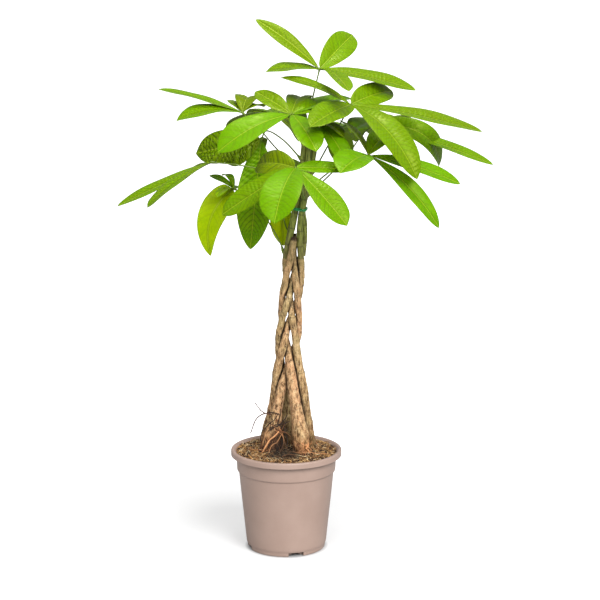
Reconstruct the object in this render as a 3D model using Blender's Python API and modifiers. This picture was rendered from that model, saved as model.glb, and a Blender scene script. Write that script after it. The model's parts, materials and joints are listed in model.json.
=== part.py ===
"""Potted money tree: five young Pachira stems plaited into one trunk, in a nursery pot.

Metres, +Z up. The origin is the middle of the pot's underside, and the plant is looked at along +Y.
Fine sizes are given in millimetres and turned to metres with MM.
"""

import math

import bmesh
import bpy
import numpy as np
from mathutils import Vector

MM = 0.001
GAP = 0.4 * MM  # between solids that touch on the real plant

# Pot: a 17 cm nursery pot, moulded in one thin skin
POT_HEIGHT = 158 * MM
POT_WALL = 1.6 * MM
RIM_RADIUS = 85.4 * MM
RIM_SKIRT = 9 * MM
RIM_LIP = 4 * MM  # how wide the rim is on top
RIM_FALL = 8 * MM  # how far its inner side slopes down to the collar
COLLAR_TOP_RADIUS = 77.2 * MM
COLLAR_HEIGHT = 26.4 * MM
COLLAR_STEP = 2.6 * MM
FOOT_RADIUS = 60 * MM
FOOT_HEIGHT = 6 * MM
FOOT_WIDTH = 6 * MM
CHANNEL_RISE = 5 * MM
PAD_RADIUS = 33 * MM
NOTCH_WIDTH = 24 * MM
NOTCH_HEIGHT = 5.5 * MM
NOTCHES = 4
NOTCH_TURN = math.radians(15)  # the first notch stands this far right of the front
DRAINS = 8
DRAIN_RADIUS = 4 * MM
POT_SIDES = 40

# Soil
SOIL_TOP = 153 * MM  # at the rim
SOIL_MOUND = 7.5 * MM  # how much higher it is in the middle
SOIL_LUMP = 2 * MM
SOIL_RINGS = 4
SOIL_SIDES = 28

# Stems
ROOT_DEPTH = 54 * MM  # how far the stems stand in the soil
STEM_STEP = 16 * MM
LEAN_ALLOWANCE = 1.09  # a leaning stem's level section is wider than its round one
SIDEWAYS = (0.6, 1.1)  # crowded stems make way along y sooner than along x
SEAT = 0.5 * MM  # between a shoot's bark and the foot of a petiole on it

# Fronds
BLADE = 1.0 * MM
FOLD = math.radians(12)  # each half of a leaflet rises from the midrib
OUTLINE = (0.6, 0.62)  # where along it a leaflet is widest, and how pointed its tip is
STATIONS = (0.0, 0.16, 0.36, 0.56, 0.76, 0.92, 1.0)
NARROWEST = 0.05
HUB_RADIUS = 4 * MM
PETIOLE_RADIUS = 1.35
PULVINUS_RADIUS = 2.3

# Each stem: x, y, z and radius in mm, from the soil up, then how it plaits with its neighbours.
STEMS = {
    "stem_left_front": [
        (-25, -16, 150, 14.5), (-21.5, -16, 184, 12.4), (-17, -14, 203, 9.7), (-14.5, -13, 219, 8.2),
        (-11.5, -11, 238, 7.2), (-3, -4, 270, 6.4), (7, 8, 297, 5.9), (15, 9, 324, 5.7), (18, 5, 340, 5.5),
        (19, -1, 363, 5.3), (18, -7, 387, 5.2), (16, -9, 411, 5.1), (13, -7, 434, 5),
        (12, 0, 452, 5), (11, 5, 470, 4.9), (11, 7, 496, 4.6),
    ],
    "stem_left_back": [
        (-30, 14, 150, 10.5), (-28.5, 13.5, 178, 9.8), (-23, 12, 203, 8.6), (-18, 10, 235, 7.2),
        (-14.5, 6, 258, 6.6), (-13, 2, 284, 6), (-8, -4, 306, 5.6), (-3, -8, 327, 5.3), (1, -5, 346, 5.2),
        (5, 2, 360, 5.1), (11, 8, 376, 5.1), (17, 9, 390, 5), (21, 5, 406, 5),
        (23, 1, 426, 5), (23, -1, 445, 5), (22, -2, 466, 4.8),
    ],
    "stem_right_front": [
        (26, -26, 150, 14.5), (22.5, -25, 178, 12.8), (18.5, -22, 207, 10.8), (15, -19, 230, 9.2),
        (10.5, -15, 255, 7.8), (7.5, -11, 278, 6.8), (5, -7, 297, 6.1), (1, -2, 316, 5.7),
        (-2, 4, 332, 5.4), (-6, 7, 350, 5.2), (-7, 6, 366, 5.2), (-6, 1, 384, 5.2),
        (-3, -5, 408, 5.2), (1, -8, 434, 5.2), (7, -9, 459, 5.1), (12, -7, 493, 4.8),
    ],
    "stem_right": [
        (37.5, 6, 150, 10.2), (33.5, -1, 188, 9), (30.5, -4, 207, 8.4), (26.5, -6, 238, 7.6),
        (23, -7, 260, 7.1), (18.6, -7, 281, 6.4), (15, -6, 300, 5.9), (14, -7, 316, 5.6),
        (12, -9, 337, 5.4), (8, -10, 360, 5.2), (6, -6, 381, 5.1), (4, 0, 396, 5.1),
        (1, 6, 414, 5), (-1, 7, 432, 5), (-2, 4, 448, 4.9), (-1, 1, 462, 4.8),
    ],
    "stem_back": [
        (3, 22, 150, 9), (2, 19, 205, 7.2), (0, 16, 236, 6.4), (-4, 12, 270, 6.3),
        (-7, 9, 297, 5.9), (-8, 5, 316, 5.6), (-8, -1, 332, 5.4), (-7, -6, 348, 5.2),
        (-4, -9, 366, 5.2), (1, -10, 384, 5.1), (5, -6, 400, 5.1), (9, 0, 414, 5.1),
        (13, 6, 433, 5), (19, 9, 451, 5), (25, 8, 466, 4.8),
    ],
}

# Each green shoot: the stem that it goes on from, then x, y, z and radius in mm.
SHOOTS = {
    "shoot_left": ("stem_right", [
        (3.5, -1, 484, 4.9), (9, -2, 508, 5.6), (14, -2, 532, 4.9), (20, -2, 556, 4.4),
        (24, -3, 590, 4.4), (27, -3, 627, 4.3), (29, -4, 652, 3.6), (30, -4, 664, 1.8),
    ]),
    "shoot_front": ("stem_left_back", [
        (20, -4, 489, 4.7), (21, -6, 512, 4.6), (24, -7, 534, 4.5), (28, -8, 560, 4.5),
        (32, -9, 595, 4.4), (35, -9, 627, 4.4), (38, -9, 660, 3.8), (40, -9, 676, 1.8),
    ]),
    "shoot_right": ("stem_back", [
        (28, 5, 486, 4.7), (28, 4, 512, 4.6), (25, 4, 534, 4.5), (31, 3, 560, 4.4),
        (38, 1, 595, 4.4), (43, 0, 627, 4.3), (46, 1, 650, 3.6), (47, 1, 662, 1.8),
    ]),
}
TIE_HEIGHT = 536 * MM
TIE_WIRE = 1.3 * MM

# Each frond: its shoot, the height where it leaves it, the points that its petiole passes, its hub,
# and its leaflets. A leaflet is its tip from the hub (x, y, z), its width, how far its midrib arches
# up and bows aside, all in mm, how many degrees its upper face is turned from the sky to the front,
# and, where its outline isn't OUTLINE, where it is widest and how pointed it is.
FRONDS = {
    "frond_top": ("shoot_front", 648, [(38, 2, 690)], (50.7, 10, 746.5), [
        (-96, 25, 72.2, 25, 7, 0, 45, 0.58, 0.75), (51, 70, 46, 41, 6, 0, 75, 0.6, 0.5),
        (-80.5, -10, -3.5, 36, 4, 0, 15), (145.5, 5, -32.3, 35, 4.5, 0, 24),
        (42, -95, -23.5, 26, 9, 0, 0, 0.72, 0.5),
    ]),
    "frond_right_upper": ("shoot_right", 590, [(71, 5, 645)], (97, -30, 697.5), [
        (-104, 20, 38, 27, 7, 0, 15), (64, 62, 14, 40, 6, 0, 55, 0.5, 0.6),
        (195, -10, -39.5, 37, 4.5, 0, 18), (95, -84, -99.5, 50, 22, 0, 20, 0.6, 0.75),
        (-61, -76, -24, 48, 4, 0, 32, 0.5, 0.6),
    ]),
    "frond_left_front": ("shoot_left", 640, [(16, -24, 668)], (9, -40, 684), [
        (-55, 45, 29, 29, 2, 0, 38), (-108, -52, -50, 48, 14, 0, 38, 0.66, 0.62),
        (36, -72, -46, 42, 6, 0, 12, 0.62, 0.55), (60, 30, 4, 44, 6, 0, 25), (90, 55, 18, 40, 5, 0, 10),
        (20, 90, 10, 36, 14, 0, 0),
    ]),
    "frond_right_back": ("shoot_right", 553, [(84, 12, 604), (118, 36, 646)], (140, 45, 660), [
        (175, -30, -59, 27, 3, 0, 22), (97, 20, -66, 36, 44, 0, 50, 0.5, 0.5),
        (-43, -50, -8, 42, 8, 0, 20), (50, 80, -10, 40, 10, 0, 0),
    ]),
    "frond_right_lower": ("shoot_right", 562, [(69, -26, 598)], (123, -70, 627), [
        (102.5, -32, -103, 28, 16, 0, 35, 0.62, 0.75), (135, -5, -42, 30, 6, 0, 30),
        (-44, -68, -17, 56, 8, 0, 25), (-42, 46, 46, 30, 5, 0, -20), (42, 60, 22, 44, 12, 0, 15),
    ]),
    "frond_front": ("shoot_front", 552, [(22, -60, 585)], (15, -115, 615), [
        (-57, 60, -5, 40, 9, 0, 60, 0.55, 0.5), (-107, 5, -70, 36, 3, 0, 45, 0.6, 0.45),
        (-30, -80, -69, 58, 14, 0, 8, 0.62, 0.42), (74, -50, -77, 40, 4, 0, 32, 0.66, 0.5),
        (73, 20, -5, 26, 1, 0, 35, 0.55, 0.5),
    ]),
    "frond_hanging": ("shoot_left", 612, [(-4, -8, 642), (-28, -10, 656)], (-37, -10, 643), [
        (-17, -5, -167, 54, 10, 0, 80, 0.52, 0.8), (-56, 10, -36, 44, 4, 0, 55),
        (-100, 32, -26, 50, 2, 0, 65, 0.55, 0.5), (-16, 52, -40, 40, 10, 0, 0),
    ]),
    "frond_left_lower": ("shoot_left", 562, [(-26, -32, 597), (-70, -38, 608)], (-111, -35, 612), [
        (-140, -15, -64, 26, 1, 0, 20), (-93.5, -42, -62, 30, 6, 0, 5, 0.62, 0.4),
        (-34, -40, -16, 14, 2, 0, -10), (-30, 34, -18, 18, 2, 0, 0),
    ]),
    "frond_left_upper": ("shoot_left", 598, [(-12, 12, 624), (-38, 24, 652)], (-66, 30, 679), [
        (-128, 10, 34, 30, 2.5, 0, 8), (-99, -26, -10, 46, 9, 0, 14), (-14, 75, 8, 30, 6, 0, 20),
        (10, 62, 12, 36, 12, 0, 25), (32, 40, 4, 26, 6, 0, 0),
    ]),
    "frond_pale_left": ("shoot_left", 466, [(-9, 8, 482), (-28, 18, 514), (-58, 28, 550)], (-80, 30, 562), [
        (-36, -10, -103, 42, 6, 18, 72, 0.33, 0.85), (-24, -35, -8, 18, 6, 0, 0),
        (-38, 15, 18, 14, 4, 0, 20), (-18, 30, 16, 12, 10, 0, 0), (30, 55, -30, 34, 10, 0, 0),
    ]),
    "frond_pale_inner": ("shoot_left", 496, [(-2, 14, 512)], (-9, 27, 543), [
        (5, -2, -69, 34, 3, 0, 80, 0.45, 0.8), (-24, 14, -14, 22, 4, 0, 0), (12, 44, -8, 30, 6, 0, 0),
    ]),
    "frond_centre": ("shoot_right", 640, [(50, -8, 656)], (50, -14, 668), [
        (44, -54, -60, 31, 8, 0, 20), (36, -28, -18, 26, 6, 0, 0), (44, 66, 4, 38, 10, 0, 0),
        (10, 72, 8, 36, 10, 0, 0),
    ]),
    "frond_back_left": ("shoot_left", 630, [(8, 40, 660)], (-16, 84, 668), [
        (-78, 36, -28, 44, 12, 0, 0), (-34, 92, -26, 46, 14, 0, 0), (36, 94, -30, 44, 14, 0, 0),
        (35, 10, -42, 32, 6, 0, 20),
    ]),
    "frond_back_right": ("shoot_right", 616, [(62, 46, 644)], (80, 88, 648), [
        (30, 98, -34, 46, 14, 0, 0), (-52, 80, -26, 44, 12, 0, 0), (74, 52, -34, 42, 12, 0, 0),
        (6, 40, -64, 40, 10, 0, 0),
    ]),
    "frond_back_low": ("shoot_left", 584, [(8, 50, 606)], (-12, 92, 604), [
        (-48, 46, -62, 44, 12, 0, 0), (-8, 74, -66, 46, 14, 0, 0), (28, 60, -62, 42, 12, 0, 0),
    ]),
}

LEAF_GREEN = (0.20, 0.42, 0.02)
PALE_GREEN = (0.42, 0.58, 0.02)


def clear_scene():
    for old in list(bpy.data.objects):
        bpy.data.objects.remove(old)


def collection_named(name, hidden=False):
    made = bpy.data.collections.new(name)
    bpy.context.scene.collection.children.link(made)
    made.hide_render = hidden
    return made


def finish_of(name, colour, roughness, metallic=0.0):
    made = bpy.data.materials.new(name)
    made.use_nodes = True
    shader = made.node_tree.nodes["Principled BSDF"]
    shader.inputs["Base Color"].default_value = (*colour, 1)
    shader.inputs["Roughness"].default_value = roughness
    shader.inputs["Metallic"].default_value = metallic
    return made


def object_of(name, data, home, finish=None):
    made = bpy.data.objects.new(name, data)
    home.objects.link(made)
    if finish is not None:
        made.data.materials.append(finish)
    return made


def unit(v):
    return v / np.linalg.norm(v)


# ---------------------------------------------------------------- pot


def pot_step():
    """Height of the collar's foot and the radius of the wall just under it, in mid skin."""
    collar_foot = POT_HEIGHT - POT_WALL / 2 - COLLAR_HEIGHT - RIM_SKIRT * 0.6
    return collar_foot, COLLAR_TOP_RADIUS - COLLAR_STEP - 1.2 * MM


def pot_profile():
    """The middle of the pot's skin, from the rim's hanging edge over the top and down to the axis."""
    half = POT_WALL / 2
    top = POT_HEIGHT - half
    under = half
    collar_foot, wall_top = pot_step()
    ring_inner = FOOT_RADIUS - FOOT_WIDTH
    return [
        (RIM_RADIUS, POT_HEIGHT - RIM_SKIRT),
        (RIM_RADIUS, top - 2 * MM),
        (RIM_RADIUS - 1.6 * MM, top),
        (RIM_RADIUS - RIM_LIP, top),
        (RIM_RADIUS - RIM_LIP - 2 * MM, top - 2.5 * MM),
        (COLLAR_TOP_RADIUS, top - RIM_FALL),
        (COLLAR_TOP_RADIUS - 1.2 * MM, collar_foot),
        (wall_top, collar_foot - 1.8 * MM),
        (FOOT_RADIUS + 1.6 * MM, FOOT_HEIGHT + 4 * MM),
        (FOOT_RADIUS, FOOT_HEIGHT),
        (FOOT_RADIUS - 0.6 * MM, under),
        (ring_inner, under),
        (ring_inner - 1 * MM, under + CHANNEL_RISE),
        (PAD_RADIUS + 1 * MM, under + CHANNEL_RISE),
        (PAD_RADIUS, under),
        (0, under),
    ]


def turned(name, profile, home, sides, finish=None):
    mesh = bpy.data.meshes.new(name)
    mesh.from_pydata([(r, 0, z) for r, z in profile], [(i, i + 1) for i in range(len(profile) - 1)], [])
    made = object_of(name, mesh, home, finish)
    screw = made.modifiers.new("turn", "SCREW")
    screw.steps = screw.render_steps = sides
    screw.use_merge_vertices = True
    screw.merge_threshold = 0.01 * MM
    screw.use_smooth_shade = True
    return made


def cut_by(made, cutters, name="cut"):
    cut = made.modifiers.new(name, "BOOLEAN")
    cut.operation = "DIFFERENCE"
    cut.solver = "MANIFOLD"
    cut.operand_type = "COLLECTION"
    cut.collection = cutters


def cylinder(name, home, radius, low, high, place=(0, 0), sides=12):
    mesh = bpy.data.meshes.new(name)
    shape = bmesh.new()
    bmesh.ops.create_cone(
        shape, cap_ends=True, segments=sides, radius1=radius, radius2=radius, depth=high - low
    )
    bmesh.ops.translate(shape, verts=shape.verts, vec=(*place, (low + high) / 2))
    shape.to_mesh(mesh)
    shape.free()
    return object_of(name, mesh, home)


def as_cutter(made):
    made.hide_render = True
    made.display_type = "WIRE"


def pot(home, finish):
    made = turned("pot", pot_profile(), home, POT_SIDES, finish)
    skin = made.modifiers.new("skin", "SOLIDIFY")
    skin.thickness = POT_WALL
    skin.offset = 0
    skin.use_even_offset = True
    cutters = collection_named("pot cutters", hidden=True)
    for turn in range(NOTCHES):
        angle = NOTCH_TURN + turn * math.tau / NOTCHES
        mesh = bpy.data.meshes.new("notch")
        shape = bmesh.new()
        bmesh.ops.create_cube(shape, size=1)
        shape.to_mesh(mesh)
        shape.free()
        notch = object_of(f"notch {turn}", mesh, cutters)
        reach = FOOT_WIDTH + 9 * MM
        notch.scale = (NOTCH_WIDTH, reach, 2 * NOTCH_HEIGHT)
        notch.location = (FOOT_RADIUS * math.sin(angle), -FOOT_RADIUS * math.cos(angle), 0)
        notch.rotation_euler.z = angle
        as_cutter(notch)
    channel_middle = (PAD_RADIUS + FOOT_RADIUS - FOOT_WIDTH) / 2
    for turn in range(DRAINS):
        angle = NOTCH_TURN + (turn + 0.5) * math.tau / DRAINS
        place = (channel_middle * math.sin(angle), -channel_middle * math.cos(angle))
        as_cutter(cylinder(f"drain {turn}", cutters, DRAIN_RADIUS, -5 * MM, 15 * MM, place))
    cut_by(made, cutters)
    return made


# ---------------------------------------------------------------- stems


def settled(columns, fixed_below, rounds=90):
    """Pushes stems that would cut into each other apart, level by level, and keeps the moves smooth.

    columns is a list of arrays (levels, x y r) on the same levels, with NaN where a stem has ended.
    """
    start = [column.copy() for column in columns]
    for turn in range(rounds):
        for i, one in enumerate(columns):
            for other in columns[i + 1 :]:
                apart = other[:, :2] - one[:, :2]
                distance = np.linalg.norm(apart, axis=1)
                wanted = (one[:, 2] + other[:, 2]) * LEAN_ALLOWANCE + GAP
                push = np.nan_to_num(np.clip(wanted - distance, 0, None))[:, None] / 2
                way = np.nan_to_num(apart / np.maximum(distance, 1e-9)[:, None])
                one[:, :2] -= push * way * SIDEWAYS
                other[:, :2] += push * way * SIDEWAYS
        if turn < rounds - 15:
            for one, first in zip(columns, start):
                moved = one[:, :2] - first[:, :2]
                inner = np.flatnonzero(~np.isnan(moved[:, 0]))[1:-1]
                moved[inner] = (moved[inner - 1] + 2 * moved[inner] + moved[inner + 1]) / 4
                one[:, :2] = first[:, :2] + moved
    for one in columns:
        one[:fixed_below, :2] = one[fixed_below, :2]
    return columns


def column_of(points, levels):
    """x, y and radius of a stem on the levels, in metres, and NaN outside its own height."""
    points = np.array(points, float) * MM
    column = np.array([np.interp(levels, points[:, 2], points[:, k]) for k in (0, 1, 3)]).T
    column[levels > points[-1, 2] + 1e-6] = np.nan
    column[levels < points[0, 2] - ROOT_DEPTH - 1e-6] = np.nan
    return column


def stem_lines():
    """Centre lines and radii of stems and shoots, as x, y, z, radius rows by name.

    A stem and the shoot that goes on from it are laid as one line, then parted between two levels.
    """
    low = SOIL_TOP - ROOT_DEPTH
    whole = {name: list(points) for name, points in STEMS.items()}
    for stem, points in SHOOTS.values():
        whole[stem] += points
    top = max(points[-1][2] for points in whole.values()) * MM
    levels = np.arange(low, top + 1e-6, STEM_STEP)
    above = int(np.searchsorted(levels, SOIL_TOP + SOIL_MOUND + SOIL_LUMP))
    columns = settled([column_of(points, levels) for points in whole.values()], above)
    lines = {}
    for (name, points), column in zip(whole.items(), columns):
        column[:above, 2] = column[above, 2]
        rows = np.array([(x, y, z, r) for (x, y, r), z in zip(column, levels) if not math.isnan(x)])
        end = points[-1]
        if end[2] * MM - rows[-1][2] > 3 * MM:
            ahead = (rows[-1] - rows[-2]) * (end[2] * MM - rows[-1][2]) / STEM_STEP
            rows = np.vstack([rows, [*(rows[-1] + ahead)[:3], end[3] * MM]])
        lines[name] = rows
    for name, (stem, _) in SHOOTS.items():
        rows = lines[stem]
        last = int(np.searchsorted(rows[:, 2], STEMS[stem][-1][2] * MM)) - 1
        ahead = (rows[last + 1] - rows[last]) * GAP * 1.2 / STEM_STEP
        middle = (rows[last] + rows[last + 1]) / 2
        lines[stem] = np.vstack([rows[: last + 1], middle])
        lines[name] = np.vstack([middle + ahead, rows[last + 1 :]])
    return lines


def tube(name, rows, home, finish=None, roundness=2):
    """A round stem along x, y, z, radius rows, with closed ends."""
    curve = bpy.data.curves.new(name, "CURVE")
    curve.dimensions = "3D"
    curve.bevel_depth = 1
    curve.bevel_resolution = roundness
    curve.use_fill_caps = True
    curve.twist_mode = "MINIMUM"
    spline = curve.splines.new("POLY")
    spline.points.add(len(rows) - 1)
    for point, (x, y, z, r) in zip(spline.points, rows):
        point.co = (x, y, z, 1)
        point.radius = r
    return object_of(name, curve, home, finish)


def meshed(made):
    """The object as a plain closed mesh in the same place."""
    graph = bpy.context.evaluated_depsgraph_get()
    mesh = bpy.data.meshes.new_from_object(made.evaluated_get(graph))
    mesh.transform(made.matrix_world)
    shape = bmesh.new()
    shape.from_mesh(mesh)
    bmesh.ops.remove_doubles(shape, verts=shape.verts, dist=0.01 * MM)
    bmesh.ops.recalc_face_normals(shape, faces=shape.faces)
    shape.to_mesh(mesh)
    shape.free()
    name = made.name
    home = made.users_collection[0]
    bpy.data.objects.remove(made)
    return object_of(name, mesh, home)


# ---------------------------------------------------------------- soil


def soil(home, finish, stems):
    """A plug that fills the pot, mounded and lumpy on top, with a plain hole for each stem."""
    foot = POT_WALL + CHANNEL_RISE + GAP
    clear = POT_WALL / 2 + 1.5 * GAP
    collar_foot, wall_top = pot_step()
    rim = COLLAR_TOP_RADIUS - clear + 0.9 * MM
    low_wall = FOOT_RADIUS + 1.6 * MM - clear
    profile = [(rim * k / SOIL_RINGS, SOIL_TOP) for k in range(SOIL_RINGS + 1)]
    profile += [
        (COLLAR_TOP_RADIUS - clear - 0.6 * MM, POT_HEIGHT - RIM_FALL - 4 * MM),
        (COLLAR_TOP_RADIUS - 1.2 * MM - clear, collar_foot + 2.5 * MM),
        (wall_top - clear, collar_foot + 0.8 * MM),
        (low_wall, FOOT_HEIGHT + 6 * MM),
        (FOOT_RADIUS - FOOT_WIDTH, foot),
        (0, foot),
    ]
    made = meshed(turned("soil", profile, home, SOIL_SIDES))
    for vertex in made.data.vertices:
        x, y, z = vertex.co
        inside = 1 - (math.hypot(x, y) / rim) ** 4
        if z > SOIL_TOP - 1 * MM and inside > 0.05:
            wave = math.sin(x * 91 + 1) * math.cos(y * 113) + 0.6 * math.sin(x * 210 - y * 170)
            vertex.co.z += SOIL_LUMP * wave * inside * 0.6 + SOIL_MOUND * (1 - (x * x + y * y) / rim**2)
    made.data.materials.append(finish)
    holes = collection_named("stem holes", hidden=True)
    for name, rows in stems.items():
        x, y, z, r = rows[0]
        hole = cylinder(f"hole {name}", holes, (r + GAP) * 1.03, z - 2 * GAP, SOIL_TOP + 20 * MM, (x, y), 16)
        as_cutter(hole)
    cut_by(made, holes)
    return made


# ---------------------------------------------------------------- tie


def tie(home, finish, shoots):
    """A plastic tie pulled round the shoots, as a band that follows their outline."""
    rings = []
    for rows in shoots.values():
        x, y, r = (float(np.interp(TIE_HEIGHT, rows[:, 2], rows[:, k])) for k in (0, 1, 3))
        rings.append((x, y, r * LEAN_ALLOWANCE + GAP + TIE_WIRE))
    points = []
    for angle in np.linspace(0, math.tau, 20, endpoint=False):
        way = np.array([math.cos(angle), math.sin(angle)])
        x, y, r = max(rings, key=lambda ring: ring[0] * way[0] + ring[1] * way[1] + ring[2])
        points.append((x + r * way[0], y + r * way[1], TIE_HEIGHT, TIE_WIRE))
    made = tube("tie", points, home, finish, roundness=1)
    made.data.splines[0].use_cyclic_u = True
    made.data.use_fill_caps = False
    return made


# ---------------------------------------------------------------- fronds


def half_width(along, widest, pointed):
    """A leaflet's half width along its midrib, as a share of the widest: wedge foot, full outer half."""
    foot = (along / widest) ** (pointed * widest / (1 - widest))
    return max(NARROWEST, foot * ((1 - along) / (1 - widest)) ** pointed)


def midrib(hub, tip, arch, face, swing, stations):
    """Points along a leaflet's midrib, with the blade's normal and its side direction at each."""
    hub, tip = np.array(hub, float), np.array(tip, float)
    hint = np.array([0, -math.sin(face), math.cos(face)])
    chord = unit(tip)
    lift = unit(hint - hint.dot(chord) * chord)
    bend = tip / 2 + 2 * arch * lift + 2 * swing * np.cross(chord, lift)
    t = np.linspace(0, 1, 60)[:, None]
    line = hub + 2 * t * (1 - t) * bend + t * t * tip
    length = np.concatenate([[0], np.cumsum(np.linalg.norm(np.diff(line, axis=0), axis=1))])
    at = np.array(stations) * length[-1]
    points = np.array([np.interp(at, length, line[:, k]) for k in range(3)]).T
    ahead = np.gradient(line, axis=0)
    tangents = np.array([np.interp(at, length, ahead[:, k]) for k in range(3)]).T
    frames = []
    normal = hint
    for point, tangent in zip(points, tangents):
        tangent = unit(tangent)
        normal = unit(normal - normal.dot(tangent) * tangent)
        frames.append((point, normal, np.cross(tangent, normal)))
    return frames


def leaflet(name, hub, row, home):
    """One leaflet blade: a strip folded up along its midrib, as thick as BLADE."""
    x, y, z, width, arch, swing, face, widest, pointed = (*row, *OUTLINE)[:9]
    tip = np.array((x, y, z)) * MM
    frames = midrib(hub, tip, arch * MM, math.radians(face), swing * MM, STATIONS)
    mesh = bpy.data.meshes.new(name)
    shape = bmesh.new()
    bmesh.ops.create_grid(shape, x_segments=2, y_segments=len(STATIONS) - 1, size=1)
    shape.verts.ensure_lookup_table()
    for vertex in shape.verts:
        across = vertex.co.x
        station = round((vertex.co.y + 1) / 2 * (len(STATIONS) - 1))
        point, normal, side = frames[station]
        half = width / 2 * MM * half_width(STATIONS[station], widest, pointed)
        vertex.co = Vector(
            point + side * across * half * math.cos(FOLD) + normal * abs(across) * half * math.sin(FOLD)
        )
    bmesh.ops.recalc_face_normals(shape, faces=shape.faces)
    shape.to_mesh(mesh)
    shape.free()
    made = object_of(name, mesh, home)
    skin = made.modifiers.new("blade", "SOLIDIFY")
    skin.thickness = BLADE
    skin.offset = 0
    return meshed(made)


def curve_through(points, count):
    """A smooth line through the points, by Catmull-Rom, with count points on it."""
    p = np.array(points, float)
    p = np.vstack([2 * p[0] - p[1], p, 2 * p[-1] - p[-2]])
    line = []
    for k in range(1, len(p) - 2):
        for t in np.linspace(0, 1, 12, endpoint=False):
            a, b, c, d = p[k - 1 : k + 3]
            line.append(
                0.5 * (2 * b + (c - a) * t + (2 * a - 5 * b + 4 * c - d) * t**2 + (3 * b - a - 3 * c + d) * t**3)
            )
    line.append(p[-2])
    line = np.array(line)
    length = np.concatenate([[0], np.cumsum(np.linalg.norm(np.diff(line, axis=0), axis=1))])
    at = np.linspace(0, length[-1], count)
    return np.array([np.interp(at, length, line[:, k]) for k in range(3)]).T


def petiole(name, rows, leaves_at, via, hub, home):
    """The frond's stalk: square out of the shoot's side, through the via points to the hub."""
    place = np.array([np.interp(leaves_at, rows[:, 2], rows[:, k]) for k in range(4)])
    level = int(np.searchsorted(rows[:, 2], leaves_at))
    up = unit(rows[level, :3] - rows[level - 1, :3])
    axis = place[:3]
    out = via[0] - axis
    out = unit(out - out.dot(up) * up)
    foot = axis + out * (place[3] + SEAT)
    points = np.vstack([foot, curve_through([foot + out * 4 * MM, *via, hub], 7)])
    share = np.linspace(0, 1, len(points))
    radii = np.interp(share, [0, 0.14, 0.9, 1], [PULVINUS_RADIUS, PETIOLE_RADIUS, PETIOLE_RADIUS, PULVINUS_RADIUS])
    return meshed(tube(name, np.column_stack([points, radii * MM]), home, roundness=1))


def frond(name, shoots, home, finish):
    """A petiole, its hub and its leaflets, joined in one body."""
    shoot, leaves_at, via, hub, leaflets = FRONDS[name]
    hub = np.array(hub) * MM
    via = [np.array(point) * MM for point in via]
    made = petiole(name, shoots[shoot], leaves_at * MM, via, hub, home)
    parts = collection_named("frond pieces")
    mesh = bpy.data.meshes.new("hub")
    shape = bmesh.new()
    bmesh.ops.create_icosphere(shape, subdivisions=1, radius=HUB_RADIUS)
    bmesh.ops.translate(shape, verts=shape.verts, vec=hub)
    shape.to_mesh(mesh)
    shape.free()
    object_of("hub", mesh, parts)
    for number, row in enumerate(leaflets):
        leaflet(f"leaflet {number}", hub, row, parts)
    join = made.modifiers.new("join", "BOOLEAN")
    join.solver = "MANIFOLD"
    join.operation = "UNION"
    join.operand_type = "COLLECTION"
    join.collection = parts
    joined = meshed(made)
    for piece in list(parts.objects):
        bpy.data.objects.remove(piece)
    bpy.data.collections.remove(parts)
    joined.data.materials.clear()
    joined.data.materials.append(finish)
    return joined


def main():
    clear_scene()
    home = collection_named("potted money tree")
    plastic = finish_of("moulded taupe plastic", (0.47, 0.34, 0.29), 0.45)
    peat = finish_of("peat and coir", (0.09, 0.06, 0.03), 0.95)
    bark = finish_of("smooth bark", (0.46, 0.33, 0.20), 0.7)
    green_bark = finish_of("green bark", (0.20, 0.26, 0.10), 0.6)
    leaf = finish_of("leaf", LEAF_GREEN, 0.4)
    pale_leaf = finish_of("pale leaf", PALE_GREEN, 0.45)
    green_plastic = finish_of("green tie plastic", (0.01, 0.20, 0.06), 0.4)
    lines = stem_lines()
    stems = {name: lines[name] for name in STEMS}
    shoots = {name: lines[name] for name in SHOOTS}
    pot(home, plastic)
    soil(home, peat, stems)
    for name, rows in stems.items():
        tube(name, rows, home, bark)
    for name, rows in shoots.items():
        tube(name, rows, home, green_bark)
    tie(home, green_plastic, shoots)
    for name in FRONDS:
        frond(name, shoots, home, pale_leaf if "pale" in name else leaf)


main()
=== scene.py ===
"""Looks of a potted money tree: a plaited Pachira trunk and its crown of fronds in a nursery pot.

Metres, +Z up, and the plant faces -Y. Tables of sizes are in millimetres, which MM turns to metres.
The file follows the plant from the pot up: pot, soil, woody stems, roots, green shoots, tie, fronds.
"""

import json
import math

import bmesh
import bpy
import numpy as np
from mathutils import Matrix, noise

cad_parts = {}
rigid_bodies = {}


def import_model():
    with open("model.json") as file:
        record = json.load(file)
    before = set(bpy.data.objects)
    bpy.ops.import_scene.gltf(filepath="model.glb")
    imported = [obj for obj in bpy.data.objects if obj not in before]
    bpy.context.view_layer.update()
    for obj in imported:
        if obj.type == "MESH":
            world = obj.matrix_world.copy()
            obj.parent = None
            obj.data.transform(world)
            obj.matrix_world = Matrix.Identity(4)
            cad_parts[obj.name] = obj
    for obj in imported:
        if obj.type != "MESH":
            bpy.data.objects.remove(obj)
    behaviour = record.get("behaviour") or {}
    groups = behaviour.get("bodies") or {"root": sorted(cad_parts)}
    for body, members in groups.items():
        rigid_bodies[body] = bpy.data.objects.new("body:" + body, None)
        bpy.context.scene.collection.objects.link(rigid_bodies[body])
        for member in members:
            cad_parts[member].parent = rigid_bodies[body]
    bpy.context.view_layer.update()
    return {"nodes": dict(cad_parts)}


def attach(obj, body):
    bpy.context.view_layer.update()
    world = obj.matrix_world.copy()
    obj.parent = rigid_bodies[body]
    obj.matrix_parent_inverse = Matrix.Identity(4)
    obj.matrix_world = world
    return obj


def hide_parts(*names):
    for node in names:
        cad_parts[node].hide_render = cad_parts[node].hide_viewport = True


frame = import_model()

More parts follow.
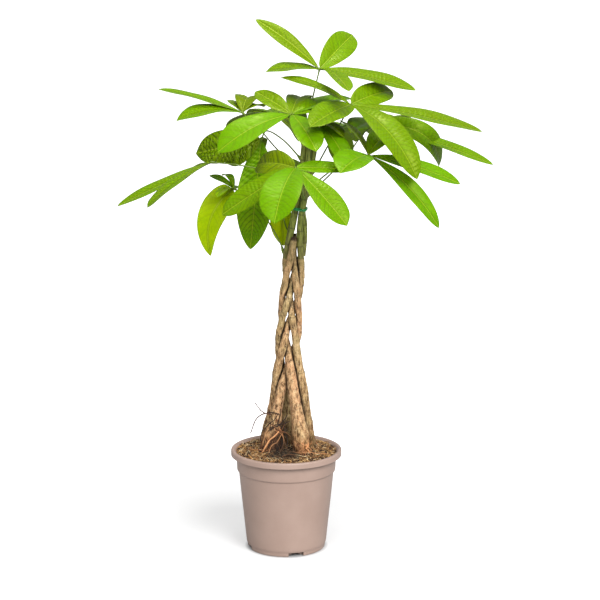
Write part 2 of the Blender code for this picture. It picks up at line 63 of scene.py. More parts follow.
# ------------------------------------------------------------------ nursery pot
# A 17 cm pot, injection moulded in one thin skin of taupe polypropylene: a rolled rim with a hanging
# skirt, a collar that ends in a step, a tapering wall, and a foot ring with four drain notches.

MM = 0.001
POT_HEIGHT = 158 * MM
POT_WALL = 1.6 * MM
RIM_RADIUS = 85.4 * MM
RIM_LIP = 4 * MM
RIM_FALL = 8 * MM
COLLAR_RADIUS = 77.2 * MM
COLLAR_FOOT = 125.4 * MM
WALL_TOP_RADIUS = 73.4 * MM
FOOT_RADIUS = 60 * MM
FOOT_HEIGHT = 6 * MM
PAD_RADIUS = 33 * MM
NOTCHES, HOLES = 4, 8  # drains: notches round the foot ring and holes in the floor inside it
NOTCH = (24 * MM, 15 * MM, 14 * MM)
NOTCH_TURN = math.radians(15)
HOLE_RADIUS = 4 * MM


def linear(code):
    """Linear RGBA of an sRGB hex colour."""
    parts = [int(code[k : k + 2], 16) / 255 for k in (1, 3, 5)]
    return (*[p / 12.92 if p <= 0.04045 else ((p + 0.055) / 1.055) ** 2.4 for p in parts], 1)


def feed(tree, node, inputs):
    """Sets or links inputs of a node. A node given as an input gives its first output."""
    for name, value in inputs.items():
        value = value.outputs[0] if isinstance(value, bpy.types.Node) else value
        if isinstance(value, bpy.types.NodeSocket):
            tree.links.new(value, node.inputs[name])
        else:
            node.inputs[name].default_value = value


def add(tree, kind, inputs=None, **settings):
    """Adds a node with its settings, and sets or links its inputs."""
    node = tree.nodes.new(kind)
    for name, value in settings.items():
        setattr(node, name, value)
    feed(tree, node, inputs or {})
    return node


def new_finish(name, **sockets):
    """A material of that name, its node tree, its shader with those constants, and the places on a piece."""
    made = bpy.data.materials.new(name)
    made.use_nodes = True
    tree = made.node_tree
    shader = tree.nodes["Principled BSDF"]
    feed(tree, shader, {socket.replace("_", " "): value for socket, value in sockets.items()})
    return made, tree, shader, add(tree, "ShaderNodeTexCoord").outputs["Object"]


def mesh_of(name, shape):
    """The mesh of a bmesh, which is freed."""
    mesh = bpy.data.meshes.new(name)
    shape.to_mesh(mesh)
    shape.free()
    return mesh


def placed(name, data, *materials):
    """An object in the scene of that mesh, light or camera, which stands at the origin."""
    made = bpy.data.objects.new(name, data)
    bpy.context.scene.collection.objects.link(made)
    for material in materials:
        made.data.materials.append(material)
    return made


def applied(piece):
    """Turns a piece with its modifiers into a plain mesh in the same place."""
    graph = bpy.context.evaluated_depsgraph_get()
    mesh = bpy.data.meshes.new_from_object(piece.evaluated_get(graph))
    piece.modifiers.clear()
    piece.data = mesh
    return piece


def rounded(profile, radius, steps=4):
    """The profile with each inner corner replaced by a short curve."""
    line = [np.array(profile[0])]
    for before, corner, after in zip(profile, profile[1:], profile[2:]):
        before, corner, after = map(np.array, (before, corner, after))
        ends = []
        for end in (before, after):
            reach = min(radius, 0.45 * np.linalg.norm(end - corner))
            ends.append(corner + (end - corner) / np.linalg.norm(end - corner) * reach)
        for t in np.linspace(0, 1, steps + 1):
            line.append((1 - t) ** 2 * ends[0] + 2 * t * (1 - t) * corner + t * t * ends[1])
    line.append(np.array(profile[-1]))
    return line


def turned(name, profile, sides, *materials):
    """A shape turned about +Z from radius and height pairs, which run from the outer rim down to the axis."""
    mesh = bpy.data.meshes.new(name)
    mesh.from_pydata([(r, 0, z) for r, z in profile], [(i, i + 1) for i in range(len(profile) - 1)], [])
    piece = placed(name, mesh, *materials)
    screw = piece.modifiers.new("turn", "SCREW")
    screw.steps = screw.render_steps = sides
    screw.use_merge_vertices = True
    screw.merge_threshold = 0.01 * MM
    return piece


# Polypropylene, injection moulded from a satin tool: even colour, a soft sheen, faint draw lines down the
# wall where it slid off the mould, and a little peat dust in fine specks.
pot_plastic, tree, shader, place = new_finish("moulded polypropylene", Roughness=0.42, IOR=1.49)
drawn = add(tree, "ShaderNodeMapping", {"Vector": place, "Scale": (1, 1, 0.04)})
lines = add(tree, "ShaderNodeTexNoise", {"Vector": drawn, "Scale": 900, "Detail": 2})
patches = add(tree, "ShaderNodeTexNoise", {"Vector": place, "Scale": 22, "Detail": 4})
shade = add(tree, "ShaderNodeMapRange", {0: patches, 1: 0.35, 2: 0.7, 3: 0.0, 4: 1.0})
colour = add(tree, "ShaderNodeMix", {0: shade, 6: linear("#9E867A"), 7: linear("#A68E82")}, data_type="RGBA")
dust = add(tree, "ShaderNodeTexNoise", {"Vector": place, "Scale": 420, "Detail": 6})
dusty = add(tree, "ShaderNodeMapRange", {0: dust, 1: 0.66, 2: 0.78, 3: 0.0, 4: 0.3})
dusted = add(tree, "ShaderNodeMix", {0: dusty, 6: colour.outputs[2], 7: linear("#7E6B5E")}, data_type="RGBA")
gloss = add(tree, "ShaderNodeMapRange", {0: patches, 3: 0.36, 4: 0.5})
bump = add(tree, "ShaderNodeBump", {"Strength": 0.12, "Distance": 0.1 * MM, "Height": lines})
feed(tree, shader, {"Base Color": dusted.outputs[2], "Roughness": gloss, "Normal": bump})

half_wall = POT_WALL / 2
top = POT_HEIGHT - half_wall
ring_inner = FOOT_RADIUS - 6 * MM
pot_profile = [
    (RIM_RADIUS, POT_HEIGHT - 9 * MM), (RIM_RADIUS, top - 1 * MM), (RIM_RADIUS - 1 * MM, top),
    (RIM_RADIUS - RIM_LIP, top), (RIM_RADIUS - RIM_LIP - 2 * MM, top - 2.5 * MM),
    (COLLAR_RADIUS, top - RIM_FALL), (COLLAR_RADIUS - 1.2 * MM, COLLAR_FOOT),
    (WALL_TOP_RADIUS, COLLAR_FOOT - 1.8 * MM), (FOOT_RADIUS + 1.6 * MM, FOOT_HEIGHT + 4 * MM),
    (FOOT_RADIUS, FOOT_HEIGHT), (FOOT_RADIUS - 0.6 * MM, half_wall), (ring_inner, half_wall),
    (ring_inner - 1 * MM, half_wall + 5 * MM), (PAD_RADIUS + 1 * MM, half_wall + 5 * MM),
    (PAD_RADIUS, half_wall), (0, half_wall),
]
pot = turned("nursery_pot", rounded(pot_profile, 1.3 * MM), 144, pot_plastic)
skin = pot.modifiers.new("skin", "SOLIDIFY")
skin.thickness = POT_WALL
skin.offset = 0
skin.use_even_offset = True
cutters = bpy.data.collections.new("pot cutters")
bpy.context.scene.collection.children.link(cutters)
for turn in range(NOTCHES + HOLES):
    shape = bmesh.new()
    if turn < NOTCHES:
        angle, reach = NOTCH_TURN + turn * math.tau / NOTCHES, FOOT_RADIUS
        bmesh.ops.create_cube(shape, size=1)
        bmesh.ops.scale(shape, verts=shape.verts, vec=NOTCH)
    else:
        angle, reach = NOTCH_TURN + (turn + 0.5) * math.tau / HOLES, (PAD_RADIUS + ring_inner) / 2
        bmesh.ops.create_cone(shape, cap_ends=True, segments=32, radius1=HOLE_RADIUS, radius2=HOLE_RADIUS,
                              depth=30 * MM)
    cutter = bpy.data.objects.new("cutter", mesh_of("cutter", shape))
    cutters.objects.link(cutter)
    cutter.rotation_euler.z = angle
    cutter.location = (reach * math.sin(angle), -reach * math.cos(angle), 0)
cut = pot.modifiers.new("drains", "BOOLEAN")
cut.operation, cut.operand_type, cut.collection, cut.solver = "DIFFERENCE", "COLLECTION", cutters, "MANIFOLD"
applied(pot)
for cutter in list(cutters.objects):
    bpy.data.objects.remove(cutter)
bpy.data.collections.remove(cutters)
pot.data.shade_smooth()
pot.data.set_sharp_from_angle(angle=math.radians(35))
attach(pot, "root")
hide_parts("pot")

# ------------------------------------------------------------------ soil
# Peat and coir potting mix, mounded a little round the stems: dark damp crumbs, pale coir fibres that
# lie across each other, and a few chips of bark.

SOIL_TOP = 153 * MM
SOIL_MOUND = 8 * MM
SOIL_RADIUS = 76.6 * MM


def make_tree(name, inputs):
    """A Geometry Nodes tree with geometry in and out and those named inputs, and its inputs by name."""
    tree = bpy.data.node_groups.new(name, "GeometryNodeTree")
    tree.interface.new_socket("Geometry", in_out="INPUT", socket_type="NodeSocketGeometry")
    for label, (kind, value) in inputs.items():
        socket = tree.interface.new_socket(label, in_out="INPUT", socket_type="NodeSocket" + kind)
        if value is not None:
            socket.default_value = value
    tree.interface.new_socket("Geometry", in_out="OUTPUT", socket_type="NodeSocketGeometry")
    return tree, {socket.name: socket for socket in tree.nodes.new("NodeGroupInput").outputs}


def close_tree(tree, made, given):
    """Ends a tree: what it made is realised and takes the given material."""
    real = add(tree, "GeometryNodeRealizeInstances", {0: made})
    coloured = add(tree, "GeometryNodeSetMaterial", {0: real, "Material": given["Material"]})
    add(tree, "NodeGroupOutput", {0: coloured})


def grown(name, mesh, tree, values):
    """The plain mesh object that the tree makes of the mesh."""
    piece = placed(name, mesh)
    modifier = piece.modifiers.new("tree", "NODES")
    modifier.node_group = tree
    for item in tree.interface.items_tree:
        if item.in_out == "INPUT" and item.name in values:
            modifier[item.identifier] = values[item.name]
    return applied(piece)


def colour_stops(ramp, *stops):
    """Gives a colour ramp those stops, each its position and colour, in rising order."""
    elements = ramp.color_ramp.elements
    for at, _ in stops[2:]:
        elements.new(at)
    for element, (at, colour) in zip(elements, stops):
        element.position, element.color = at, linear(colour)


# Potting mix, screened peat: nearly black-brown where damp, redder and paler where the crumbs have dried.
peat, tree, shader, place = new_finish("peat potting mix", Roughness=0.95)
crumbs = add(tree, "ShaderNodeTexNoise", {"Vector": place, "Scale": 260, "Detail": 8})
ramp = add(tree, "ShaderNodeValToRGB", {0: crumbs})
colour_stops(ramp, (0.35, "#2E1D0F"), (0.72, "#7A5330"))
bump = add(tree, "ShaderNodeBump", {"Strength": 0.9, "Distance": 1 * MM, "Height": crumbs})
feed(tree, shader, {"Base Color": ramp, "Normal": bump})

profile = [(SOIL_RADIUS * k / 44, SOIL_TOP) for k in range(45)]
profile += [
    (75.0 * MM, 146 * MM), (74.4 * MM, 128 * MM), (71.8 * MM, 126.3 * MM), (60.0 * MM, 12 * MM),
    (54 * MM, 7 * MM), (0, 7 * MM),
]
soil = applied(turned("potting_soil", profile, 120, peat))
for vertex in soil.data.vertices:
    x, y, z = vertex.co
    share = math.hypot(x, y) / SOIL_RADIUS
    if z > SOIL_TOP - 1 * MM:
        lump = 2.4 * noise.noise((x / 0.015, y / 0.015, 0)) + 1.2 * noise.noise((x / 0.005, y / 0.005, 5))
        vertex.co.z += SOIL_MOUND * (1 - share**2) + lump * 1.3 * MM * (1 - share**8)
soil.data.shade_smooth()
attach(soil, "root")
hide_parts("soil")

# Scatter: copies of a small piece are strewn over the soil's top, each turned and sized at random.
strew, given = make_tree("strewn on soil", {
    "Piece": ("Object", None), "Per Square Metre": ("Float", 1e5), "Smallest": ("Float", 0.5),
    "Largest": ("Float", 1.0), "Tilt": ("Float", 0.5), "Lift": ("Float", 0.0), "Seed": ("Int", 1),
    "Material": ("Material", None),
})
normal = add(strew, "GeometryNodeInputNormal")
split = add(strew, "ShaderNodeSeparateXYZ", {0: normal})
upward = add(strew, "FunctionNodeCompare", {0: split.outputs[2], 1: 0.4})
points = add(strew, "GeometryNodeDistributePointsOnFaces", {
    "Mesh": given["Geometry"], "Selection": upward, "Density": given["Per Square Metre"],
    "Seed": given["Seed"]})
raise_up = add(strew, "ShaderNodeCombineXYZ", {2: given["Lift"]})
lifted = add(strew, "GeometryNodeSetPosition", {"Geometry": points, "Offset": raise_up})
low_tilt = add(strew, "ShaderNodeMath", {0: given["Tilt"], 1: -1.0}, operation="MULTIPLY")
least = add(strew, "ShaderNodeCombineXYZ", {0: low_tilt, 1: low_tilt, 2: 0.0})
most = add(strew, "ShaderNodeCombineXYZ", {0: given["Tilt"], 1: given["Tilt"], 2: math.tau})
turn = add(strew, "FunctionNodeRandomValue",
           {0: least, 1: most, "Seed": given["Seed"]}, data_type="FLOAT_VECTOR")
size = add(strew, "FunctionNodeRandomValue",
           {2: given["Smallest"], 3: given["Largest"], "Seed": 11}, data_type="FLOAT")
piece = add(strew, "GeometryNodeObjectInfo", {0: given["Piece"]})
copies = add(strew, "GeometryNodeInstanceOnPoints", {
    "Points": lifted, "Instance": piece.outputs["Geometry"], "Rotation": turn, "Scale": size.outputs[1]})
tint = add(strew, "FunctionNodeRandomValue", {2: 0.0, 3: 1.0, "Seed": 23}, data_type="FLOAT")
tinted = add(strew, "GeometryNodeStoreNamedAttribute",
             {0: copies, "Name": "tint", "Value": tint.outputs[1]}, data_type="FLOAT", domain="INSTANCE")
close_tree(strew, tinted, given)


HOLLOW = (-1 * MM, -36 * MM, 160 * MM)  # between the two front feet, where litter and roots are painted dark as shade


def litter_finish(name, dark, middle, pale):
    """A dry matt litter whose pieces run from dark to pale by their own tint, and are painted dark near the
    hollow, as its shade.
    """
    made, tree, shader, place = new_finish(name, Roughness=0.85)
    own = add(tree, "ShaderNodeAttribute", attribute_name="tint")
    ramp = add(tree, "ShaderNodeValToRGB", {0: own.outputs["Fac"]})
    colour_stops(ramp, (0, dark), (0.5, middle), (1, pale))
    # Painted shade: near the hollow between the front feet the colour darkens to near black.
    off = add(tree, "ShaderNodeVectorMath", {0: place, 1: HOLLOW}, operation="DISTANCE")
    recess_shade = add(tree, "ShaderNodeMapRange", {0: off.outputs["Value"], 1: 34 * MM, 2: 16 * MM, 3: 0.0, 4: 0.85})
    recess_shaded = add(tree, "ShaderNodeMix", {0: recess_shade, 6: ramp, 7: linear("#150D06")}, data_type="RGBA")
    feed(tree, shader, {"Base Color": recess_shaded.outputs[2]})
    return made


def lump_mesh(name, radius, squash, seed):
    """One crumb or chip: a small uneven lump, squashed in height."""
    shape = bmesh.new()
    bmesh.ops.create_icosphere(shape, subdivisions=1, radius=radius)
    for vertex in shape.verts:
        vertex.co *= 1 + 0.5 * noise.noise((vertex.co / radius) * 1.3 + type(vertex.co)((seed, 0, 0)))
        vertex.co.z *= squash
    return mesh_of(name, shape)


def fibre_mesh(name, length, thickness, bow):
    """One coir fibre: a thin three-sided strand that bows and twists a little."""
    shape = bmesh.new()
    rings = []
    for k in range(7):
        t = k / 6 - 0.5
        middle = (t * length, bow * (0.25 - t * t) * 2, 0.3 * bow * math.sin(5 * t))
        girth = thickness / 2 * (1 - 1.5 * abs(t))
        rings.append([
            shape.verts.new((middle[0], middle[1] + girth * math.cos(a), middle[2] + girth * math.sin(a)))
            for a in (0, 2.1, 4.2)
        ])
    for one, two in zip(rings, rings[1:]):
        for k in range(3):
            shape.faces.new((one[k], one[(k + 1) % 3], two[(k + 1) % 3], two[k]))
    shape.faces.new(rings[0])
    shape.faces.new(rings[-1][::-1])
    bmesh.ops.recalc_face_normals(shape, faces=shape.faces)
    return mesh_of(name, shape)


# Coir, the husk fibre of coconuts: straw to rust coloured, dry and dull.
coir = litter_finish("coir fibre", "#6E4722", "#C29253", "#F5DDB0")
# Peat crumbs: dark and damp below, lighter where the air has dried them.
dried_peat = litter_finish("dried peat crumbs", "#140C05", "#3A2512", "#9C7044")
# Composted bark, chipped: orange-brown to yellow, broken flat.
bark_chip = litter_finish("composted bark chips", "#150C06", "#4C321B", "#A27C4C")
# name, sample, how many to the square metre, smallest and largest, tilt in radians, lift in mm, seed, finish
litter = [
    ("soil_crumbs", lump_mesh("crumb", 1.3 * MM, 0.8, 1), 150000, 0.4, 1.6, 3.0, 0.5, 3, dried_peat),
    ("soil_chips", lump_mesh("chip", 3.0 * MM, 0.5, 4), 8000, 0.4, 1.3, 0.8, 1.0, 5, bark_chip),
    ("soil_fibres", fibre_mesh("fibre", 10 * MM, 0.7 * MM, 3 * MM), 90000, 0.35, 1.3, 0.45, 1.3, 8, coir),
    ("soil_long_fibres", fibre_mesh("fibre", 26 * MM, 1.1 * MM, 7 * MM), 5000, 0.5, 1.1, 0.25, 1.8, 12, coir),
]
for name, mesh, density, smallest, largest, tilt, lift, seed, finish in litter:
    sample = placed("sample", mesh)
    bed = soil.data.copy()
    strewn = grown(name, bed, strew, {
        "Piece": sample, "Per Square Metre": float(density), "Smallest": smallest, "Largest": largest,
        "Tilt": tilt, "Lift": lift * MM, "Seed": seed, "Material": finish})
    bpy.data.objects.remove(sample)
    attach(strewn, "root")

# ------------------------------------------------------------------ woody stems
# Five young Pachira stems, plaited while soft and now woody. Smooth thin bark, tan and pinkish, with
# ring scars where leaves have dropped. Two of the stems were cut off above the plait and have dried.


def through(points, step):
    """Rows on a smooth curve through the rows given, about a step apart."""
    p = np.array(points, float)
    p = np.vstack([2 * p[0] - p[1], p, 2 * p[-1] - p[-2]])
    t = np.linspace(0, 1, 10, endpoint=False)[:, None]
    line = []
    for a, b, c, d in zip(p, p[1:], p[2:], p[3:]):
        square, cube = 2 * a - 5 * b + 4 * c - d, 3 * b - a - 3 * c + d
        line.append(0.5 * (2 * b + (c - a) * t + square * t**2 + cube * t**3))
    line = np.vstack([*line, p[-2]])
    length = np.concatenate([[0], np.cumsum(np.linalg.norm(np.diff(line[:, :3], axis=0), axis=1))])
    at = np.linspace(0, length[-1], max(3, round(length[-1] / step)))
    return np.array([np.interp(at, length, column) for column in line.T]).T


def line_mesh(name, lines):
    """A mesh of open lines. Each is a dict: its points in "place", and by name a value for each point."""
    names = sorted({key for line in lines for key in line if key != "place"})
    mesh = bpy.data.meshes.new(name)
    places = np.vstack([line["place"] for line in lines])
    edges, first = [], 0
    for line in lines:
        count = len(line["place"])
        edges += [(first + k, first + k + 1) for k in range(count - 1)]
        first += count
    mesh.from_pydata(places.tolist(), edges, [])
    for key in names:
        width = max(np.ndim(line[key]) for line in lines if key in line)
        blank = [0.0, 0.0, 0.0] if width == 2 else 0.0
        values = [np.array(line.get(key, [blank] * len(line["place"])), float) for line in lines]
        layer = mesh.attributes.new(key, "FLOAT_VECTOR" if width == 2 else "FLOAT", "POINT")
        layer.data.foreach_set("vector" if width == 2 else "value", np.concatenate(values).ravel())
    return mesh


def centre_line(node):
    """x, y, z and radius up a stem, from the rings of its plain solid."""
    mesh = frame["nodes"][node].data
    points = np.empty(len(mesh.vertices) * 3)
    mesh.vertices.foreach_get("co", points)
    points = np.unique(np.round(points.reshape(-1, 3), 6), axis=0)
    points = points[np.argsort(points[:, 2])]
    rows = []
    for ring in np.split(points, np.flatnonzero(np.diff(points[:, 2]) > 4.5 * MM) + 1):
        if len(ring) >= 6:
            middle = (ring.min(axis=0) + ring.max(axis=0)) / 2
            rows.append([*middle, np.linalg.norm(ring - middle, axis=1).mean()])
    return np.array(rows)


# A round stalk along each line: its girth comes with the line, and lumps roughen its skin.
stalk, given = make_tree("round stalk", {
    "Sides": ("Int", 12), "Step": ("Float", 2 * MM), "Lump Height": ("Float", 0.0),
    "Lump Size": ("Float", 10 * MM), "Grain Height": ("Float", 0.0), "Material": ("Material", None),
})
path = add(stalk, "GeometryNodeMeshToCurve", {0: given["Geometry"]})
even = add(stalk, "GeometryNodeResampleCurve", {"Curve": path, "Length": given["Step"]}, mode="LENGTH")
ring = add(stalk, "GeometryNodeCurvePrimitiveCircle", {"Resolution": given["Sides"], "Radius": 1.0})
girth = add(stalk, "GeometryNodeInputNamedAttribute", {"Name": "girth"})
tube = add(stalk, "GeometryNodeCurveToMesh",
           {"Curve": even, "Profile Curve": ring, "Scale": girth, "Fill Caps": True})
place = add(stalk, "GeometryNodeInputPosition")
per_lump = add(stalk, "ShaderNodeMath", {0: 1.0, 1: given["Lump Size"]}, operation="DIVIDE")
stretched = add(stalk, "ShaderNodeVectorMath", {0: place, 1: (1.0, 1.0, 0.16)}, operation="MULTIPLY")
value = given | {
    "lumps": add(stalk, "ShaderNodeTexNoise", {"Vector": place, "Scale": per_lump, "Detail": 2.0}),
    "grain": add(stalk, "ShaderNodeTexNoise", {"Vector": stretched, "Scale": 700.0, "Detail": 3.0}),
    "gnarl": add(stalk, "GeometryNodeInputNamedAttribute", {"Name": "gnarl"}),
}
for name, operation, *operands in (
    ("lump", "SUBTRACT", "lumps", 0.5), ("lump_height", "MULTIPLY", "gnarl", "Lump Height"),
    ("swell", "MULTIPLY", "lump", "lump_height"), ("furrow", "SUBTRACT", "grain", 0.5),
    ("skin", "MULTIPLY_ADD", "furrow", "Grain Height", "swell"),
):
    inputs = {k: value.get(operand, operand) for k, operand in enumerate(operands)}
    value[name] = add(stalk, "ShaderNodeMath", inputs, operation=operation)
normal = add(stalk, "GeometryNodeInputNormal")
push = add(stalk, "ShaderNodeVectorMath", {0: normal, "Scale": value["skin"]}, operation="SCALE")
rough = add(stalk, "GeometryNodeSetPosition", {"Geometry": tube, "Offset": push})
smooth = add(stalk, "GeometryNodeSetShadeSmooth", {"Geometry": rough})
close_tree(stalk, smooth, given)

# Young Pachira bark, a thin living cork: dull, tan to pinkish or olive, blotched light and dark, with fine
# upright furrows and pale cork warts. Green shows through higher up, and the foot is rusty and rough.
FORK = (-6 * MM, -24 * MM, 180 * MM)  # where the stems part above the soil; bark near it is painted dark as shade
bark, tree, shader, place = new_finish("young Pachira bark", Roughness=0.75, Specular_IOR_Level=0.25)
upright = add(tree, "ShaderNodeMapping", {"Vector": place, "Scale": (1, 1, 0.2)})
furrows = add(tree, "ShaderNodeTexNoise", {"Vector": upright, "Scale": 380, "Detail": 8, "Roughness": 0.7})
drawn = add(tree, "ShaderNodeMapping", {"Vector": place, "Scale": (1, 1, 0.45)})
blotches = add(tree, "ShaderNodeTexNoise", {"Vector": drawn, "Scale": 200, "Detail": 8, "Roughness": 0.75})
patches = add(tree, "ShaderNodeTexNoise", {"Vector": place, "Scale": 38, "Detail": 3})
tint = add(tree, "ShaderNodeAttribute", attribute_name="tint")
leaning = add(tree, "ShaderNodeMapRange", {0: patches, 1: 0.35, 2: 0.65, 3: -0.3, 4: 0.3})
tinted = add(tree, "ShaderNodeMath", {0: tint.outputs["Fac"], 1: leaning}, operation="ADD", use_clamp=True)
own = add(tree, "ShaderNodeMix", {0: tinted, 6: linear("#CA9A70"), 7: linear("#B19868")}, data_type="RGBA")
height = add(tree, "ShaderNodeSeparateXYZ", {0: place}).outputs[2]
wander = add(tree, "ShaderNodeMath", {0: patches, 1: 0.08, 2: height}, operation="MULTIPLY_ADD")
darkest = add(tree, "ShaderNodeMapRange", {0: height, 1: 0.26, 2: 0.36, 3: 0.95, 4: 0.95 * 0.45})
rust_share = add(tree, "ShaderNodeMapRange", {0: blotches, 1: 0.42, 2: 0.58})
rusty = add(tree, "ShaderNodeMix",
            {0: rust_share, 6: linear("#5E3B1E"), 7: linear("#F2A567")}, data_type="RGBA")
foot_colour = add(tree, "ShaderNodeMix",
                  {0: tint.outputs["Fac"], 6: rusty.outputs[2], 7: linear("#5A4226")}, data_type="RGBA")
warts = add(tree, "ShaderNodeTexVoronoi", {"Vector": place, "Scale": 330, "Randomness": 1.0})
scar = add(tree, "ShaderNodeAttribute", attribute_name="scar")
broken = add(tree, "ShaderNodeMath", {0: scar.outputs["Fac"], 1: furrows}, operation="MULTIPLY")
colour = own.outputs[2]
# what each layer follows, where on that it starts and is full, how strong it gets, and its colour
for source, start, full, strongest, over in (
    (furrows, 0.48, 0.62, 0.95, linear("#3A2412")), (blotches, 0.5, 0.38, darkest, linear("#4F361C")),
    (blotches, 0.53, 0.63, 0.7, linear("#DCBE92")), (wander, 0.44, 0.56, 0.65, linear("#7F7C4A")),
    (wander, 0.245, 0.205, 0.85, foot_colour.outputs[2]), (warts, 0.2, 0.1, 0.7, linear("#E3CDA4")),
    (broken, 0.1, 0.55, 1.0, linear("#3B2818")),
):
    share = add(tree, "ShaderNodeMapRange", {0: source, 1: start, 2: full, 3: 0.0, 4: strongest})
    colour = add(tree, "ShaderNodeMix", {0: share, 6: colour, 7: over}, data_type="RGBA").outputs[2]
# Painted shade: bark close to another stem, and near the fork above the soil, darkens to near black.
crevice = add(tree, "ShaderNodeAttribute", attribute_name="crevice").outputs["Fac"]
crevice_share = add(tree, "ShaderNodeMapRange", {0: crevice, 1: 0.1, 2: 0.65, 3: 0.0, 4: 0.93},
                    interpolation_type="SMOOTHSTEP")
off = add(tree, "ShaderNodeVectorMath", {0: place, 1: FORK}, operation="DISTANCE")
recess_shade = add(tree, "ShaderNodeMapRange", {0: off.outputs["Value"], 1: 26 * MM, 2: 12 * MM, 3: 0.0, 4: 0.85})
shade_share = add(tree, "ShaderNodeMath", {0: crevice_share, 1: recess_shade}, operation="MAXIMUM")
shaded = add(tree, "ShaderNodeMix", {0: shade_share, 6: colour, 7: linear("#1E1208")}, data_type="RGBA")
relief = add(tree, "ShaderNodeMath", {0: furrows, 1: blotches}, operation="ADD")
bump = add(tree, "ShaderNodeBump", {"Strength": 1.0, "Distance": 1.4 * MM, "Height": relief})
feed(tree, shader, {"Base Color": shaded.outputs[2], "Normal": bump})

# node: tint from pink to olive, heights in mm of its ring scars, whether its top is a dried cut, and how
# its foot swells and then narrows into the root, as height in mm and share of its plain girth
STEMS = {
    "stem_left_front": (0.35, (226, 300, 401, 448), True, ((152, 0.8), (165, 1.0), (185, 1.1), (205, 1.0))),
    "stem_left_back": (0.55, (240, 341, 386, 430), False, ((152, 1.0), (165, 1.0), (185, 1.0), (205, 1.0))),
    "stem_right_front": (0.3, (257, 312, 356, 441), True, ((152, 0.62), (165, 0.8), (182, 1.06),
                                                           (205, 1.02))),
    "stem_right": (0.85, (281, 368, 407, 440), False, ((152, 0.85), (165, 1.0), (185, 1.0), (205, 1.0))),
    "stem_back": (1.0, (250, 345, 428), False, ((152, 1.5), (165, 1.45), (190, 1.3), (220, 1.22),
                                                (250, 1.0))),
}
lines_of = {node: centre_line(node) for node in [*STEMS, "shoot_left", "shoot_front", "shoot_right"]}
TIGHT = ((240, 1), (262, 1.1), (308, 1.1), (328, 1))  # how the stems swell where they press, by height in mm


def scarred_line(rows, heights, tint, cut, foot=((0, 1), (1, 1))):
    """A stem's line and girth, swollen and dark at each ring scar, gnarled at the foot, dark at a cut top."""
    rows = through(rows, 1.5 * MM)
    z = rows[:, 2]
    near = sum(np.exp(-(((z - h * MM) / (2.2 * MM)) ** 2)) for h in heights)
    line_scar = sum(np.exp(-(((z - h * MM) / (0.8 * MM)) ** 2)) for h in heights)
    ended = np.clip((z - z[-1] + 7 * MM) / (4 * MM), 0, 1) if cut else 0 * z
    footing = np.interp(z / MM, *zip(*foot)) * np.interp(z / MM, *zip(*TIGHT))
    return {
        "place": rows[:, :3],
        "girth": rows[:, 3] * footing * (1.0 + 0.06 * near - 0.12 * ended),
        "gnarl": np.interp(z / MM, (165, 225, 300), (1.6, 1.1, 0.55)),
        "scar": np.clip(0.8 * line_scar + 1.2 * ended, 0, 1),
        "tint": np.full(len(z), float(tint)),
    }


CREVICE = ((210, 9), (260, 6), (340, 4.5))  # how near another stem bark begins to darken, by height, in mm


def store_crevices(piece, others):
    """Marks the points of a piece that lie close to the other stems, where the bark is painted dark as shade.
    """
    mesh = piece.data
    points = np.empty(len(mesh.vertices) * 3)
    mesh.vertices.foreach_get("co", points)
    points = points.reshape(-1, 1, 3)
    nearest = np.full(len(points), 1.0)
    for rows in others:
        rows = through(rows, 4 * MM)
        apart = np.linalg.norm(points - rows[None, :, :3], axis=2) - rows[None, :, 3]
        nearest = np.minimum(nearest, apart.min(axis=1))
    layer = mesh.attributes.new("crevice", "FLOAT", "POINT")
    reach = np.interp(points[:, 0, 2] / MM, *zip(*CREVICE)) * MM
    layer.data.foreach_set("value", np.clip(1 - nearest / reach, 0, 1))


for node, (tint, heights, cut, foot) in STEMS.items():
    line = line_mesh(node + "_line", [scarred_line(lines_of[node], heights, tint, cut, foot)])
    stem = grown(node + "_bark", line, stalk, {
        "Sides": 32, "Step": 1.5 * MM, "Lump Height": 4 * MM, "Lump Size": 13 * MM,
        "Grain Height": 0.9 * MM, "Material": bark})
    store_crevices(stem, [lines_of[other] for other in STEMS if other != node])
    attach(stem, "root")
    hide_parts(node)

# ------------------------------------------------------------------ roots at the foot
# Thin roots that come out of the stems just above the soil and cling to them on their way down, and a
# few wiry dried ones that stand out to the left.

# Dried root skin: corky, straw to rusty orange, dull.
root_skin = litter_finish("dried root skin", "#2A190D", "#8E5A34", "#DDA06C")
draw = np.random.default_rng(7)
roots = []


def add_root(line, tint):
    """Keeps a root as a line of places and girths, with its tint all along."""
    same = np.ones(len(line))
    roots.append({"place": line[:, :3], "girth": line[:, 3], "gnarl": same, "tint": tint * same})


# node, how many, highest start in mm, from which side to which (0 is +X, -90 the front), girth in mm, darkest
# and palest tint
CLINGING = (
    ("stem_left_front", 50, 226, -190, 20, 0.55, 0.0, 0.25),
    ("stem_left_front", 60, 214, -100, 10, 0.45, 0.0, 0.8),
    ("stem_left_back", 6, 196, -270, -90, 0.6, 0.1, 0.6),
    ("stem_right_front", 12, 190, -180, 0, 0.6, 0.5, 1.0),
    ("stem_right", 6, 185, -90, 90, 0.6, 0.2, 0.8), ("stem_back", 34, 215, -190, -10, 0.45, 0.0, 0.5),
)
for node, count, highest, first_side, last_side, thick, darkest, palest in CLINGING:
    rows = lines_of[node]
    for _ in range(count):
        start = draw.uniform(172, highest) * MM
        heights = np.linspace(start, SOIL_TOP + 3 * MM, 8)
        side = math.radians(draw.uniform(first_side, last_side))
        angle = side + np.cumsum(draw.normal(0, 0.28, len(heights)))
        x, y, r = (np.interp(heights, rows[:, 2], rows[:, k]) for k in (0, 1, 3))
        spread = r * 0.97 + np.clip(np.linspace(-0.3, 1, len(heights)), 0, 1) ** 2 * draw.uniform(0, 9) * MM
        girth = draw.uniform(0.7, 2.0) * thick * MM * np.linspace(1.1, 0.7, len(heights))
        x, y = x + spread * np.cos(angle), y + spread * np.sin(angle)
        line = through(np.column_stack([x, y, heights, girth]), 3 * MM)
        add_root(line, draw.uniform(darkest, palest))
